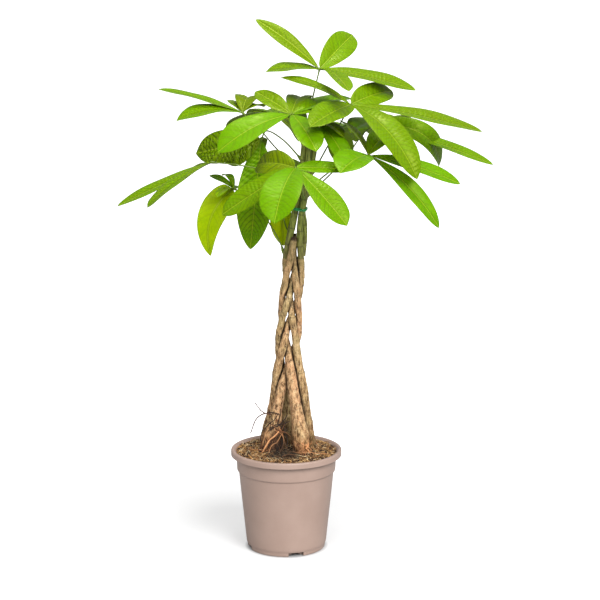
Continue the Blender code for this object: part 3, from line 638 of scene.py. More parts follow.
# Single roots, as points in mm with the girth, and a tint
SINGLE_ROOTS = [
    (0.1, [(-22, -29, 220, 1.1), (-33, -30, 222, 1.0), (-46, -30, 213, 0.9), (-55, -30, 190, 0.75)]),
    (0.1, [(-32, -30, 222, 0.9), (-39, -30, 227, 0.8), (-48, -31, 240, 0.7)]),
    (0.85, [(-11, -31, 194, 0.8), (-18, -36, 187, 1.3), (-25, -37, 182, 1.0), (-31, -41, 173, 1.4),
            (-36, -41, 164, 0.7)]),
    (0.75, [(-8, -33, 188, 0.6), (-14, -37, 178, 0.9), (-22, -41, 174, 0.8), (-27, -45, 163, 0.6)]),
    (0.7, [(6, -45, 166, 0.5), (22, -51, 165, 0.7), (34, -47, 165, 0.5), (50, -48, 163, 0.6),
    (64, -38, 160, 0.4)]),
    (0.6, [(-6, -56, 161, 0.6), (4, -52, 163, 0.7), (16, -53, 162, 0.4)]),
    (0.5, [(-60, -6, 158, 0.6), (-46, -24, 162, 0.7), (-34, -34, 164, 0.6)]),
    (0.6, [(-12, -26, 200, 0.7), (-6, -31, 190, 0.7), (-2, -38, 178, 0.6), (2, -42, 166, 0.5)]),
    (0.3, [(-22, -30, 204, 0.5), (-10, -33, 196, 0.6), (2, -30, 190, 0.5), (8, -32, 182, 0.4)]),
    (0.7, [(-18, -30, 196, 0.5), (-6, -34, 188, 0.5), (-4, -40, 176, 0.5), (-10, -46, 164, 0.4)]),
    (0.2, [(-2, -28, 205, 0.5), (-8, -32, 194, 0.6), (-16, -35, 184, 0.6), (-20, -40, 170, 0.5)]),
    (0.0, [(0, -24, 210, 0.6), (-3, -26, 196, 0.7), (2, -30, 180, 0.7), (0, -36, 166, 0.6)]),
]
# Thin dark roots that lie on the stems' front, as places in mm (x, height and girth)
LYING_ROOTS = [
    [(-33, 219, 0.6), (-26, 221, 0.8), (-16, 220, 0.8), (-9, 217, 0.5)],
    [(1, 216, 0.7), (-4, 208, 0.9), (-12, 201, 1.0), (-20, 198, 0.9), (-28, 192, 0.7)],
    [(5, 208, 0.6), (-4, 203, 0.8), (-14, 203, 0.8), (-26, 197, 0.6)],
    [(-14, 206, 0.6), (-9, 200, 0.7), (-2, 196, 0.6), (6, 190, 0.5)],
    [(-8, 226, 0.6), (-9, 217, 0.7), (-12, 208, 0.7), (-13, 200, 0.6)],
    [(-24, 215, 0.6), (-20, 206, 0.7), (-22, 196, 0.8), (-30, 184, 0.6), (-34, 172, 0.5)],
    [(-12, 220, 0.5), (-18, 210, 0.6), (-27, 203, 0.6), (-33, 195, 0.5)],
    [(-16, 199, 0.6), (-14, 188, 0.7), (-17, 178, 0.7), (-15, 168, 0.6)],
    [(2, 199, 0.5), (-2, 189, 0.6), (-6, 178, 0.7), (-4, 166, 0.6)],
    [(-30, 210, 0.5), (-34, 200, 0.6), (-38, 190, 0.6), (-40, 176, 0.5)],
]
for points in LYING_ROOTS:
    line = through(np.array([(x, 0, z, r) for x, z, r in points]) * MM, 2.5 * MM)
    for spot in line:
        for rows in (lines_of[node] for node in STEMS):
            x, y, r = (np.interp(spot[2], rows[:, 2], rows[:, k]) for k in (0, 1, 3))
            spot[1] = min(spot[1], y - math.sqrt(max(0, (r + 0.8 * MM) ** 2 - (spot[0] - x) ** 2)))
    line[:, 1] = np.convolve(np.pad(line[:, 1], 2, "edge"), np.ones(5) / 5, "valid")
    add_root(line, 0.0)
for tint, points in SINGLE_ROOTS:
    add_root(through(np.array(points) * MM, 2.5 * MM), tint)
foot_roots = grown("foot_roots", line_mesh("root lines", roots), stalk, {
    "Sides": 7, "Step": 1.5 * MM, "Lump Height": 0.7 * MM, "Lump Size": 3 * MM, "Material": root_skin})
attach(foot_roots, "root")

# ------------------------------------------------------------------ green shoots
# The live tips of three of the stems, grown on from the wood, which carry the crown. Green and still soft,
# finely streaked, with dark scars where older fronds have dropped.

# Living green bark with its cuticle: semi-gloss, grey-green, browner near the wood below.
green_bark, tree, shader, place = new_finish("green Pachira bark", Roughness=0.5, Specular_IOR_Level=0.3)
upright = add(tree, "ShaderNodeMapping", {"Vector": place, "Scale": (1, 1, 0.2)})
streaks = add(tree, "ShaderNodeTexNoise", {"Vector": upright, "Scale": 380, "Detail": 6})
height = add(tree, "ShaderNodeSeparateXYZ", {0: place}).outputs[2]
blotches = add(tree, "ShaderNodeTexNoise", {"Vector": place, "Scale": 90, "Detail": 4})
wander = add(tree, "ShaderNodeMath", {0: blotches, 1: 0.05, 2: height}, operation="MULTIPLY_ADD")
scar = add(tree, "ShaderNodeAttribute", attribute_name="scar").outputs["Fac"]
colour = linear("#8C9542")
for source, start, full, strongest, over in (
    (streaks, 0.38, 0.66, 1.0, "#424D14"), (wander, 0.535, 0.475, 0.75, "#6B5C3A"),
    (scar, 0.0, 1.0, 1.0, "#33291A"),
):
    share = add(tree, "ShaderNodeMapRange", {0: source, 1: start, 2: full, 3: 0.0, 4: strongest})
    colour = add(tree, "ShaderNodeMix", {0: share, 6: colour, 7: linear(over)}, data_type="RGBA").outputs[2]
bump = add(tree, "ShaderNodeBump", {"Strength": 0.35, "Distance": 0.4 * MM, "Height": streaks})
feed(tree, shader, {"Base Color": colour, "Normal": bump})

SHOOTS = {
    "shoot_left": (482, 507, 531, 560, 586, 611, 640), "shoot_front": (479, 503, 528, 552, 579, 606, 634),
    "shoot_right": (484, 511, 534, 558, 583, 609, 636),
}
for node, heights in SHOOTS.items():
    line = line_mesh(node + "_line", [scarred_line(lines_of[node], heights, 0, False)])
    shoot = grown(node + "_bark", line, stalk, {
        "Sides": 20, "Step": 1.6 * MM, "Lump Height": 1.8 * MM, "Lump Size": 9 * MM,
        "Grain Height": 0.25 * MM, "Material": green_bark})
    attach(shoot, "root")
    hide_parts(node)

# ------------------------------------------------------------------ tie
# A garden tie of soft emerald plastic over a wire, wound twice round the shoots above the plait and
# twisted shut at the front.

# PVC, extruded over wire: saturated green, and glossy in an uneven way.
tie_plastic, tree, shader, place = new_finish(
    "extruded PVC", Base_Color=linear("#0B8443"), Roughness=0.3, IOR=1.53)
fine = add(tree, "ShaderNodeTexNoise", {"Vector": place, "Scale": 800})
worn = add(tree, "ShaderNodeMapRange", {0: fine, 3: 0.25, 4: 0.42})
feed(tree, shader, {"Roughness": worn})

TIE_HEIGHT = 536 * MM
TIE_WIRE = 1.2 * MM
posts = []
for node in SHOOTS:
    rows = lines_of[node]
    posts.append([float(np.interp(TIE_HEIGHT, rows[:, 2], rows[:, k])) for k in (0, 1, 3)])
wound = []
for angle in np.linspace(-0.5 * math.pi, 3.4 * math.pi, 90):
    way = (math.cos(angle), math.sin(angle))
    x, y, r = max(posts, key=lambda post: post[0] * way[0] + post[1] * way[1] + post[2])
    r += TIE_WIRE + 0.2 * MM
    wound.append((x + r * way[0], y + r * way[1], TIE_HEIGHT + (angle / math.pi - 1.5) * 0.75 * MM, TIE_WIRE))
wound = through(wound, 1.2 * MM)
knot = np.array(wound[0, :3]) + (-2 * MM, -1 * MM, 0)
ends = []
for side in (0, math.pi):
    t = np.linspace(0, 1, 24)
    twist = side + t * 7
    ends.append(np.column_stack([
        knot[0] + t * -7 * MM + 0.9 * MM * np.cos(twist), knot[1] - t * 3 * MM,
        knot[2] + t * 2 * MM + 0.9 * MM * np.sin(twist), np.full(24, TIE_WIRE * 0.75)]))
wires = [{"place": rows[:, :3], "girth": rows[:, 3], "gnarl": 0 * rows[:, 3]} for rows in (wound, *ends)]
tie = grown("plant_tie", line_mesh("tie lines", wires), stalk, {
    "Sides": 10, "Step": 0.8 * MM, "Material": tie_plastic})
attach(tie, "root")
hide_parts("tie")

# ------------------------------------------------------------------ fronds
# Each frond is a long green petiole with a hand of leaflets at its end. A leaflet is a thin glossy blade,
# folded up along a pale midrib and quilted between its side veins, and it arches over to a drawn-out tip.

# Each frond: its shoot, the height where it leaves it, the points that its petiole passes, its hub, and its
# leaflets. A leaflet is its tip from the hub (x, y, z), its width, how far its midrib arches up and bows
# aside, all in mm, how many degrees its upper face is turned from the sky to the front, its tone (0 is deep
# old green, 1 lime and 1.5 the yellow of a new leaf) and, where its outline isn't OUTLINE, where it is widest
# and how pointed it is. Leaflets that lie in the shade of others, such as the first of frond_hanging and of
# frond_pale_inner, have a tone above their own colour, as painted light.
OUTLINE = (0.6, 0.62)
FRONDS = {
    "frond_top": ("shoot_front", 648, [(38, 2, 690)], (50.7, 10, 746.5), [
        (-96, 25, 72.2, 25, 7, 0, 45, 0.3, 0.58, 0.75), (51, 70, 46, 41, 6, 0, 75, 0.5, 0.6, 0.5),
        (-80.5, -10, -3.5, 36, 4, 0, 15, 0.4), (145.5, 5, -32.3, 35, 4.5, 0, 24, 0.35),
        (42, -95, -23.5, 26, 9, 0, 0, 0.4, 0.72, 0.5),
    ]),
    "frond_right_upper": ("shoot_right", 590, [(71, 5, 645)], (97, -30, 697.5), [
        (-104, 20, 38, 27, 7, 0, 15, 0.35), (64, 62, 14, 40, 6, 0, 55, 0.45, 0.5, 0.6),
        (195, -10, -39.5, 37, 4.5, 0, 18, 0.35), (95, -84, -99.5, 50, 22, 0, 20, 0.4, 0.6, 0.75),
        (-61, -76, -24, 48, 4, 0, 32, 0.45, 0.5, 0.6),
    ]),
    "frond_left_front": ("shoot_left", 640, [(16, -24, 668)], (9, -40, 684), [
        (-55, 45, 29, 29, 2, 0, 38, 0.3), (-108, -52, -50, 48, 14, 0, 38, 0.85, 0.66, 0.62),
        (36, -72, -46, 42, 6, 0, 12, 0.75, 0.62, 0.55),
        (60, 30, 4, 44, 6, 0, 25, 0.6), (90, 55, 18, 40, 5, 0, 10, 0.8), (20, 90, 10, 36, 14, 0, 0, 0.3),
    ]),
    "frond_right_back": ("shoot_right", 553, [(84, 12, 604), (118, 36, 646)], (140, 45, 660), [
        (175, -30, -59, 27, 3, 0, 22, 0.55), (97, 20, -66, 36, 44, 0, 50, 0.6, 0.5, 0.5),
        (-43, -50, -8, 42, 8, 0, 20, 1.0), (50, 80, -10, 40, 10, 0, 0, 0.4),
    ]),
    "frond_right_lower": ("shoot_right", 562, [(69, -26, 598)], (123, -70, 627), [
        (102.5, -32, -103, 28, 16, 0, 35, 0.9, 0.62, 0.75), (135, -5, -42, 30, 6, 0, 30, 0.8),
        (-44, -68, -17, 56, 8, 0, 25, 0.85), (-42, 46, 46, 30, 5, 0, -20, 0.1),
        (42, 60, 22, 44, 12, 0, 15, 0.5),
    ]),
    "frond_front": ("shoot_front", 552, [(22, -60, 585)], (15, -115, 615), [
        (-57, 60, -5, 40, 9, 0, 60, 0.0, 0.55, 0.5), (-107, 5, -70, 36, 3, 0, 45, 0.5, 0.6, 0.45),
        (-30, -80, -69, 58, 14, 0, 8, 0.85, 0.62, 0.42), (74, -50, -77, 40, 4, 0, 32, 0.75, 0.66, 0.5),
        (73, 20, -5, 26, 1, 0, 35, 0.75, 0.55, 0.5),
    ]),
    # The first leaflet's tone, 0.95, is raised above its own colour as painted light, for the shade it hangs
    # in.
    "frond_hanging": ("shoot_left", 612, [(-4, -8, 642), (-28, -10, 656)], (-37, -10, 643), [
        (-17, -5, -167, 54, 10, 0, 80, 0.95, 0.52, 0.8), (-56, 10, -36, 44, 4, 0, 55, 0.3),
        (-100, 32, -26, 50, 2, 0, 65, 0.3, 0.55, 0.5), (-16, 52, -40, 40, 10, 0, 0, 0.3),
    ]),
    "frond_left_lower": ("shoot_left", 562, [(-26, -32, 597), (-70, -38, 608)], (-111, -35, 612), [
        (-140, -15, -64, 26, 1, 0, 20, 0.45), (-93.5, -42, -62, 30, 6, 0, 5, 0.4, 0.62, 0.4),
        (-34, -40, -16, 14, 2, 0, -10, 0.3), (-30, 34, -18, 18, 2, 0, 0, 0.3),
    ]),
    "frond_left_upper": ("shoot_left", 598, [(-12, 12, 624), (-38, 24, 652)], (-66, 30, 679), [
        (-128, 10, 34, 30, 2.5, 0, 8, 0.5), (-99, -26, -10, 46, 9, 0, 14, 0.55),
        (-14, 75, 8, 30, 6, 0, 20, 0.25),
        (10, 62, 12, 36, 12, 0, 25, 0.05), (32, 40, 4, 26, 6, 0, 0, 0.4),
    ]),
    "frond_pale_left": ("shoot_left", 466, [(-9, 8, 482), (-28, 18, 514), (-58, 28, 550)], (-80, 30, 562), [
        (-36, -10, -103, 42, 6, 18, 72, 1.35, 0.33, 0.85), (-24, -35, -8, 18, 6, 0, 0, 1.1),
        (-38, 15, 18, 14, 4, 0, 20, 0.9), (-18, 30, 16, 12, 10, 0, 0, 1.0), (30, 55, -30, 34, 10, 0, 0, 0.9),
    ]),
    # The first leaflet's tone, 1.9, is raised above its own colour as painted light, for the shade of the
    # leaves in front.
    "frond_pale_inner": ("shoot_left", 496, [(-2, 14, 512)], (-9, 27, 543), [
        (5, -2, -69, 34, 3, 0, 80, 1.9, 0.45, 0.8), (-24, 14, -14, 22, 4, 0, 0, 1.2),
        (12, 44, -8, 30, 6, 0, 0, 1.0),
    ]),
    "frond_centre": ("shoot_right", 640, [(50, -8, 656)], (50, -14, 668), [
        (44, -54, -60, 31, 8, 0, 20, 0.85), (36, -28, -18, 26, 6, 0, 0, 0.2), (44, 66, 4, 38, 10, 0, 0, 0.3),
        (10, 72, 8, 36, 10, 0, 0, 0.3),
    ]),
    "frond_back_left": ("shoot_left", 630, [(8, 40, 660)], (-16, 84, 668), [
        (-78, 36, -28, 44, 12, 0, 0, 0.3), (-34, 92, -26, 46, 14, 0, 0, 0.5),
        (36, 94, -30, 44, 14, 0, 0, 0.45),
        (35, 10, -42, 32, 6, 0, 20, 0.1),
    ]),
    "frond_back_right": ("shoot_right", 616, [(62, 46, 644)], (80, 88, 648), [
        (30, 98, -34, 46, 14, 0, 0, 0.5), (-52, 80, -26, 44, 12, 0, 0, 0.4),
        (74, 52, -34, 42, 12, 0, 0, 0.55),
        (6, 40, -64, 40, 10, 0, 0, 0.45),
    ]),
    "frond_back_low": ("shoot_left", 584, [(8, 50, 606)], (-12, 92, 604), [
        (-48, 46, -62, 44, 12, 0, 0, 0.6), (-8, 74, -66, 46, 14, 0, 0, 0.7), (28, 60, -62, 42, 12, 0, 0, 0.6),
    ]),
}
QUILTED = {"frond_hanging": 3.4, "frond_left_lower": 1.5, "frond_front": 1.3}  # old leaves, quilted deeper
VEIN_GAP = (7.5 * MM, 14 * MM)  # between side veins on old leaves and on new ones
VEIN_SLANT = 0.16  # how far along a side vein reaches the margin, as a share of the blade's length
VEIN_CURVE = 1.35  # how it bends forwards on its way

# How side veins lie, as the name of each step, its operation and its operands: evenly by their pairs, but
# bunched in each leaflet's own way. The pillow between two veins is half a wave.
VEINS = (
    ("phase", "MULTIPLY", "behind", "pairs"), ("bunch", "MULTIPLY_ADD", "behind", 17.0, "number"),
    ("bunched", "SINE", "bunch"), ("uneven", "MULTIPLY_ADD", "bunched", 0.3, "phase"),
    ("half_turns", "MULTIPLY", "uneven", math.pi), ("ripple", "SINE", "half_turns"),
    ("pillow", "ABSOLUTE", "ripple"),
)
BLADE_THICK = 0.7 * MM
BROAD = 22 * MM  # the half width at which quilting and waves reach their full height
WAVE_TURNS = 11.0  # how far the wave of a margin turns along a leaflet, in radians

# The blade: a closed ring is drawn along the midrib, then each point is placed across and above it. The
# fold, the quilting between side veins and the waves of the margin are all added along the face's normal.
blade, given = make_tree("leaflet blade", {
    "Stations": ("Int", 115), "Around": ("Int", 24), "Fold": ("Float", 0.3),
    "Thickness": ("Float", BLADE_THICK), "Vein Slant": ("Float", VEIN_SLANT), "Quilt": ("Float", 1.5 * MM),
    "Wave": ("Float", 0.9 * MM), "Material": ("Material", None),
})
path = add(blade, "GeometryNodeMeshToCurve", {0: given["Geometry"]})
spread = add(blade, "GeometryNodeResampleCurve", {"Curve": path, "Count": given["Stations"]}, mode="COUNT")
place = add(blade, "GeometryNodeInputPosition")
spined = add(blade, "GeometryNodeStoreNamedAttribute",
             {0: spread, "Name": "spine", "Value": place}, data_type="FLOAT_VECTOR", domain="POINT")
ring = add(blade, "GeometryNodeCurvePrimitiveCircle", {"Resolution": given["Around"], "Radius": 1.0})
ring_place = add(blade, "ShaderNodeSeparateXYZ", {0: place})
reach = add(blade, "ShaderNodeMath", {0: ring_place.outputs[0]}, operation="ABSOLUTE")
eased = add(blade, "ShaderNodeMath", {0: reach, 1: 1.25}, operation="POWER")
way = add(blade, "ShaderNodeMath", {0: ring_place.outputs[0]}, operation="SIGN")
across_of = add(blade, "ShaderNodeMath", {0: eased, 1: way}, operation="MULTIPLY")
ring_across = add(blade, "GeometryNodeStoreNamedAttribute",
                  {0: ring, "Name": "across", "Value": across_of}, data_type="FLOAT", domain="POINT")
ring_upper = add(blade, "GeometryNodeStoreNamedAttribute",
                 {0: ring_across, "Name": "upper", "Value": ring_place.outputs[1]},
                 data_type="FLOAT", domain="POINT")
sleeve = add(blade, "GeometryNodeCurveToMesh",
             {"Curve": spined, "Profile Curve": ring_upper, "Scale": 1 * MM, "Fill Caps": True})
value = given | {
    name: add(blade, "GeometryNodeInputNamedAttribute", {"Name": name},
              data_type="FLOAT_VECTOR" if name in ("spine", "side", "face") else "FLOAT")
    for name in ("spine", "side", "face", "half", "along", "number", "ridge", "pairs", "across", "upper")
}
out = value["out"] = add(blade, "ShaderNodeMath", {0: value["across"]}, operation="ABSOLUTE")
value["from_rib"] = add(blade, "ShaderNodeMapRange", {0: out, 1: 0.0, 2: 0.3},
                        interpolation_type="SMOOTHSTEP")
for name, operation, *operands in (
    # the two halves fold up from the midrib, and each is a little hollow
    ("bowl", "MULTIPLY_ADD", "out", -0.1, "Fold"), ("fold_share", "MULTIPLY", "bowl", "out"),
    ("fold", "MULTIPLY", "fold_share", "half"),
    # the blade swells between its side veins, and less toward the midrib, the margin and the narrow ends
    ("curved", "POWER", "out", VEIN_CURVE), ("slant", "MULTIPLY", "curved", "Vein Slant"),
    ("behind", "SUBTRACT", "along", "slant"), *VEINS,
    ("cubed", "POWER", "out", 3.0), ("inner", "SUBTRACT", 1.0, "cubed"), ("breadth", "DIVIDE", "half", BROAD),
    ("raised", "MULTIPLY", "pillow", "from_rib"), ("pillow_share", "MULTIPLY", "raised", "inner"),
    ("quilt_share", "MULTIPLY", "pillow_share", "breadth"), ("ridged", "MULTIPLY", "quilt_share", "ridge"),
    ("quilt", "MULTIPLY", "ridged", "Quilt"),
    # the margins wave, and each leaflet starts its wave elsewhere
    ("turns", "MULTIPLY", "along", WAVE_TURNS), ("own_turns", "MULTIPLY_ADD", "number", 2.4, "turns"),
    ("lag", "MULTIPLY_ADD", "across", 1.3, "own_turns"), ("sway", "SINE", "lag"),
    ("squared", "MULTIPLY", "out", "out"), ("edge_share", "MULTIPLY", "squared", "breadth"),
    ("sway_share", "MULTIPLY", "sway", "edge_share"), ("wave", "MULTIPLY", "sway_share", "Wave"),
    # the upper and the lower skin lie apart, and all of these add up
    ("half_thick", "MULTIPLY", "Thickness", 0.5), ("skin", "MULTIPLY", "upper", "half_thick"),
    ("fold_quilt", "ADD", "fold", "quilt"), ("wave_skin", "ADD", "wave", "skin"),
    ("rise", "ADD", "fold_quilt", "wave_skin"), ("offside", "MULTIPLY", "across", "half"),
):
    inputs = {k: value.get(operand, operand) for k, operand in enumerate(operands)}
    value[name] = add(blade, "ShaderNodeMath", inputs, operation=operation)
sideways = add(blade, "ShaderNodeVectorMath",
               {0: value["side"], "Scale": value["offside"]}, operation="SCALE")
upwards = add(blade, "ShaderNodeVectorMath", {0: value["face"], "Scale": value["rise"]}, operation="SCALE")
base = add(blade, "ShaderNodeVectorMath", {0: value["spine"], 1: sideways}, operation="ADD")
target = add(blade, "ShaderNodeVectorMath", {0: base, 1: upwards}, operation="ADD")
shaped = add(blade, "GeometryNodeSetPosition", {"Geometry": sleeve, "Position": target})
margin = add(blade, "FunctionNodeCompare", {0: out, 1: 0.995})
sharp = add(blade, "GeometryNodeStoreNamedAttribute",
            {0: shaped, "Name": "sharp_edge", "Value": margin}, data_type="BOOLEAN", domain="EDGE")
smooth = add(blade, "GeometryNodeSetShadeSmooth", {"Geometry": sharp})
close_tree(blade, smooth, given)

# A living leaf under a waxy cuticle: glossy lime to deep green above, paler and duller below. The wax lies on
# green, so its gloss is tinted. Veins and the creases beside them are about 1 mm wide, wider than real ones,
# so that they show. The creases are painted shade: darker green where the blade dips at each side vein and in
# a band beside the folded midrib.
leaf, tree, shader, place = new_finish(
    "waxy leaf", IOR=1.45, Specular_IOR_Level=0.28, Specular_Tint=(0.9, 1, 0.2, 1), Subsurface_Weight=0.25,
    Subsurface_Radius=(0.7, 1.0, 0.1), Subsurface_Scale=0.5 * MM)
own = {name: add(tree, "ShaderNodeAttribute", attribute_name=name).outputs["Fac"]
       for name in ("across", "along", "half", "upper", "tone", "number", "ridge", "pairs")}
blotches = add(tree, "ShaderNodeTexNoise", {"Vector": place, "Scale": 45, "Detail": 4})
speckle = add(tree, "ShaderNodeTexNoise", {"Vector": place, "Scale": 300, "Detail": 3})
toned = add(tree, "ShaderNodeMath", {0: blotches, 1: 0.55, 2: own["tone"]}, operation="MULTIPLY_ADD")
toned = add(tree, "ShaderNodeMath", {0: speckle, 1: 0.15, 2: toned}, operation="MULTIPLY_ADD")
ramp = add(tree, "ShaderNodeValToRGB", {0: add(tree, "ShaderNodeMapRange", {0: toned, 1: 0.22, 2: 1.92})})
colour_stops(ramp, (0, "#5F6F04"), (0.33, "#5C7C01"), (0.62, "#578701"), (1, "#A6BE01"))
for name, operation, *operands in (
    ("out", "ABSOLUTE", "across"), ("curved", "POWER", "out", VEIN_CURVE),
    ("behind", "MULTIPLY_ADD", "curved", -VEIN_SLANT, "along"), *VEINS, ("beside", "MULTIPLY", "out", "half"),
):
    inputs = {k: own.get(operand, operand) for k, operand in enumerate(operands)}
    own[name] = add(tree, "ShaderNodeMath", inputs, operation=operation)
# Painted shade: dark green in the valleys of the quilting round each side vein, and in a band beside the
# folded midrib.
vein_crease_shade, side_vein, mid_vein, midrib_crease_shade = (
    add(tree, "ShaderNodeMapRange", {0: own[source], 1: start, 2: end, 3: strongest, 4: 0.0},
        interpolation_type="SMOOTHSTEP")
    for source, start, end, strongest in (
        ("pillow", 0.0, 0.5, 0.5), ("pillow", 0.0, 0.12, 0.3), ("beside", 0.25 * MM, 0.8 * MM, 0.7),
        ("beside", 0.8 * MM, 2.6 * MM, 0.4))
)
vein = add(tree, "ShaderNodeMath", {0: side_vein, 1: mid_vein}, operation="MAXIMUM")
furrow = add(tree, "ShaderNodeMath", {0: vein_crease_shade, 1: own["ridge"]}, operation="MULTIPLY", use_clamp=True)
deepest = add(tree, "ShaderNodeMath", {0: furrow, 1: midrib_crease_shade}, operation="MAXIMUM")
crease_shaded = add(tree, "ShaderNodeMix", {0: deepest, 6: ramp, 7: linear("#304603")}, data_type="RGBA")
pale = add(tree, "ShaderNodeMix", {0: 0.5, 6: ramp, 7: linear("#B4C832")}, data_type="RGBA")
veined = add(tree, "ShaderNodeMix", {0: vein, 6: crease_shaded.outputs[2], 7: pale.outputs[2]}, data_type="RGBA")
margin = add(tree, "ShaderNodeMapRange", {0: own["out"], 1: 0.92, 2: 1.0, 3: 0.0, 4: 0.5})
edged = add(tree, "ShaderNodeMix", {0: margin, 6: veined.outputs[2], 7: linear("#45560A")}, data_type="RGBA")
under_share = add(tree, "ShaderNodeMapRange", {0: own["upper"], 1: 0.05, 2: -0.05, 3: 0.0, 4: 1.0})
dull_share = add(tree, "ShaderNodeMath", {0: under_share, 1: 0.35}, operation="MULTIPLY")
sided = add(tree, "ShaderNodeMix",
            {0: dull_share, 6: edged.outputs[2], 7: linear("#7A9430")}, data_type="RGBA")
worn = add(tree, "ShaderNodeMapRange", {0: blotches, 1: 0.35, 2: 0.65, 3: 0.3, 4: 0.46})
gloss = add(tree, "ShaderNodeMath", {0: under_share, 1: 0.25, 2: worn}, operation="MULTIPLY_ADD")
net = add(tree, "ShaderNodeTexVoronoi", {"Vector": place, "Scale": 420}, feature="DISTANCE_TO_EDGE")
bump = add(tree, "ShaderNodeBump", {"Strength": 0.04, "Distance": 0.4 * MM, "Height": net})
feed(tree, shader, {"Base Color": sided.outputs[2], "Roughness": gloss, "Normal": bump})

# A petiole is a smooth green stalk with a thin cuticle, a little yellower than the blades.
petiole_skin, tree, shader, place = new_finish("petiole skin", Roughness=0.42, Specular_IOR_Level=0.3)
blotches = add(tree, "ShaderNodeTexNoise", {"Vector": place, "Scale": 60, "Detail": 3})
skinned = add(tree, "ShaderNodeMix",
              {0: blotches, 6: linear("#4E6416"), 7: linear("#718A26")}, data_type="RGBA")
feed(tree, shader, {"Base Color": skinned.outputs[2]})


def unit(v):
    """The vector at length 1."""
    return v / np.linalg.norm(v)


def leaflet_line(hub, row, number, quilted):
    """A leaflet's midrib with the side and face direction and the half width at each point."""
    x, y, z, width, arch, bow, face, tone, widest, pointed = (*row, *OUTLINE)[:10]
    hub, tip, face = np.array(hub) * MM, np.array((x, y, z)) * MM, math.radians(face)
    sky = np.array([0, -math.sin(face), math.cos(face)])
    chord = unit(tip)
    lift = unit(sky - sky.dot(chord) * chord)
    bend = tip / 2 + (2 * arch * lift + 2 * bow * np.cross(chord, lift)) * MM
    t = np.linspace(0, 1, 80)[:, None]
    line = hub + 2 * t * (1 - t) * bend + t * t * tip
    length = np.concatenate([[0], np.cumsum(np.linalg.norm(np.diff(line, axis=0), axis=1))])
    along = length / length[-1]
    ahead = np.gradient(line, axis=0)
    faces, sides, normal = [], [], sky
    for tangent in ahead:
        tangent = unit(tangent)
        normal = unit(normal - normal.dot(tangent) * tangent)
        faces.append(normal)
        sides.append(np.cross(tangent, normal))
    outline = (along / widest) ** (pointed * widest / (1 - widest)) * ((1 - along) / (1 - widest)) ** pointed
    half = outline * np.clip((along - 0.01) / 0.04, 0, 1) ** 0.7 * (width / 2 + 0.4) * MM
    drip = 1.5 * (1 - along) * length[-1] + 1e-9  # the tip runs out in a short point
    half = half / (1 + (half / drip) ** 5) ** 0.2 + BLADE_THICK / 2
    same = np.ones(len(line))
    pairs = length[-1] / (VEIN_GAP[0] if quilted > 1 else np.interp(tone, (0.6, 0.9), VEIN_GAP))
    return {"place": line, "face": np.array(faces), "side": np.array(sides), "half": half, "along": along,
            "number": same * number, "tone": same * tone, "pairs": same * pairs,
            "ridge": same * quilted * max(0.35, 1.6 - 1.1 * tone)}


for frond_number, (node, (shoot, leaves_at, via, hub, leaflets)) in enumerate(FRONDS.items()):
    rows = lines_of[shoot]
    axis = [float(np.interp(leaves_at * MM, rows[:, 2], rows[:, k])) for k in range(3)]
    out = np.array(via[0]) * MM - axis
    out[2] = 0
    seat = np.array(axis) + unit(out) * 3 * MM
    knee = np.array(axis) + unit(out) * 6 * MM + (0, 0, 4 * MM)
    points = through([seat, knee, *(np.array(p) * MM for p in via), np.array(hub) * MM], 3 * MM)
    points = np.vstack([points, points[-1] + unit(points[-1] - points[-2]) * 2.5 * MM])
    share = np.linspace(0, 1, len(points))
    girth = np.interp(share, [0, 0.05, 0.1, 0.93, 0.98, 1], [3.0, 2.4, 1.2, 1.0, 2.4, 1.2]) * MM
    stalks = [{"place": points, "girth": girth, "gnarl": np.ones(len(girth))}]
    blades = []
    for number, row in enumerate(leaflets):
        line = leaflet_line(hub, row, frond_number * 7 + number, QUILTED.get(node, 1.0))
        blades.append(line)
        under = line["place"] - line["face"] * BLADE_THICK / 2
        girth = np.interp(line["along"], [0, 0.06, 1], [1.3, 0.85, 0.15]) * MM
        stalks.append({"place": under, "girth": girth, "gnarl": np.ones(len(girth))})
    leaves = grown(node + "_leaflets", line_mesh(node + "_midribs", blades), blade, {"Material": leaf})
    petioles = grown(node + "_petiole", line_mesh(node + "_stalks", stalks), stalk, {
        "Sides": 8, "Step": 2.5 * MM, "Lump Height": 0.2 * MM, "Material": petiole_skin})
    for piece in (leaves, petioles):
        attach(piece, "root")
    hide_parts(node)
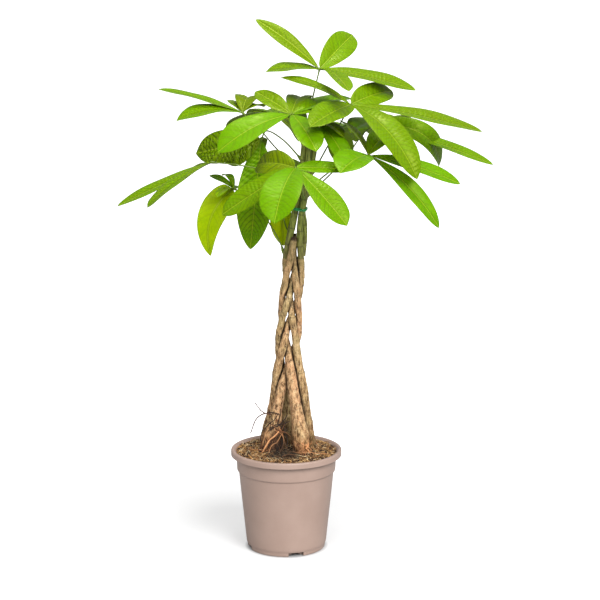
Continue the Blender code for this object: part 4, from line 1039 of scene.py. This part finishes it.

# ------------------------------------------------------------------ floor, light and camera
# A white studio sweep with an even white surround, a soft key light from the front right and a camera a
# little above the plant's top.

# Matt white paper with a painted glow, so that shadows on it stay pale. The glow is only for the eye, so that
# it doesn't light the plant from below; it is brightest behind the plant and left out under the pot.
sweep, tree, shader, spot = new_finish(
    "white paper with a painted glow", Base_Color=linear("#AEAEAE"), Roughness=0.9, Emission_Color=(1, 1, 1, 1))
seen = add(tree, "ShaderNodeLightPath")
place = add(tree, "ShaderNodeSeparateXYZ", {0: spot})
further = add(tree, "ShaderNodeMapRange", {0: place.outputs[1], 1: 0.3, 2: 0.5, 3: 0.5, 4: 1.1})
from_pot = add(tree, "ShaderNodeVectorMath", {0: spot}, operation="LENGTH")
shown = add(tree, "ShaderNodeMapRange", {0: from_pot.outputs["Value"], 1: 58 * MM, 2: 66 * MM})
open_light = add(tree, "ShaderNodeMath", {0: shown, 1: further}, operation="MULTIPLY")
own_light = add(tree, "ShaderNodeMath",
                {0: seen.outputs["Is Camera Ray"], 1: open_light}, operation="MULTIPLY")
feed(tree, shader, {"Emission Strength": own_light})
shape = bmesh.new()
bmesh.ops.create_grid(shape, x_segments=1, y_segments=1, size=40)
floor = placed("studio_floor", mesh_of("studio_floor", shape), sweep)

# The surround is white to the eye and much dimmer as a light.
world = bpy.data.worlds.new("studio surround")
bpy.context.scene.world = world
world.use_nodes = True
surround = world.node_tree.nodes["Background"]
seen = add(world.node_tree, "ShaderNodeLightPath")
strength = add(world.node_tree, "ShaderNodeMapRange", {0: seen.outputs["Is Camera Ray"], 3: 0.44, 4: 1.05})
feed(world.node_tree, surround, {"Color": (1, 1, 1, 1), "Strength": strength})

# A big softbox to the right of the camera, as far as its even light goes a soft-edged sun.
KEY_HEIGHT, KEY_SIDE = 38, 30  # degrees above the floor and to the right
key = bpy.data.lights.new("softbox", "SUN")
key.energy = 3.1
key.angle = math.radians(30)
softbox = placed("softbox", key)
softbox.rotation_euler = (math.radians(90 - KEY_HEIGHT), 0, math.radians(KEY_SIDE))

# A softer box above and left of the camera, which fills the shadows, and a small one overhead, which shows
# the gloss of the leaves.
for name, power, size, spot, aim in (
    ("fill box", 48, 1.4, (-0.5, -2.9, 1.9), (0, 0, 0.5)),
    ("top box", 30, 0.6, (0.1, -0.3, 2.5), (0, 0, 0.6)),
):
    box = bpy.data.lights.new(name, "AREA")
    box.energy, box.size = power, size
    lamp = placed(name, box)
    lamp.location = spot
    away = np.array(aim) - spot
    lamp.rotation_euler = (math.acos(-away[2] / np.linalg.norm(away)), 0, math.atan2(-away[0], away[1]))

LOOKS_DOWN = 11.98  # degrees below level
camera = bpy.data.cameras.new("studio camera")
camera.sensor_width = 36
camera.lens = 117.9
eye = placed("studio camera", camera)
eye.location = (0.0214, -2.95, 1.02)
eye.rotation_euler = (math.radians(90 - LOOKS_DOWN), 0, 0)
bpy.context.scene.camera = eye
bpy.context.scene.view_settings.view_transform = "Standard"
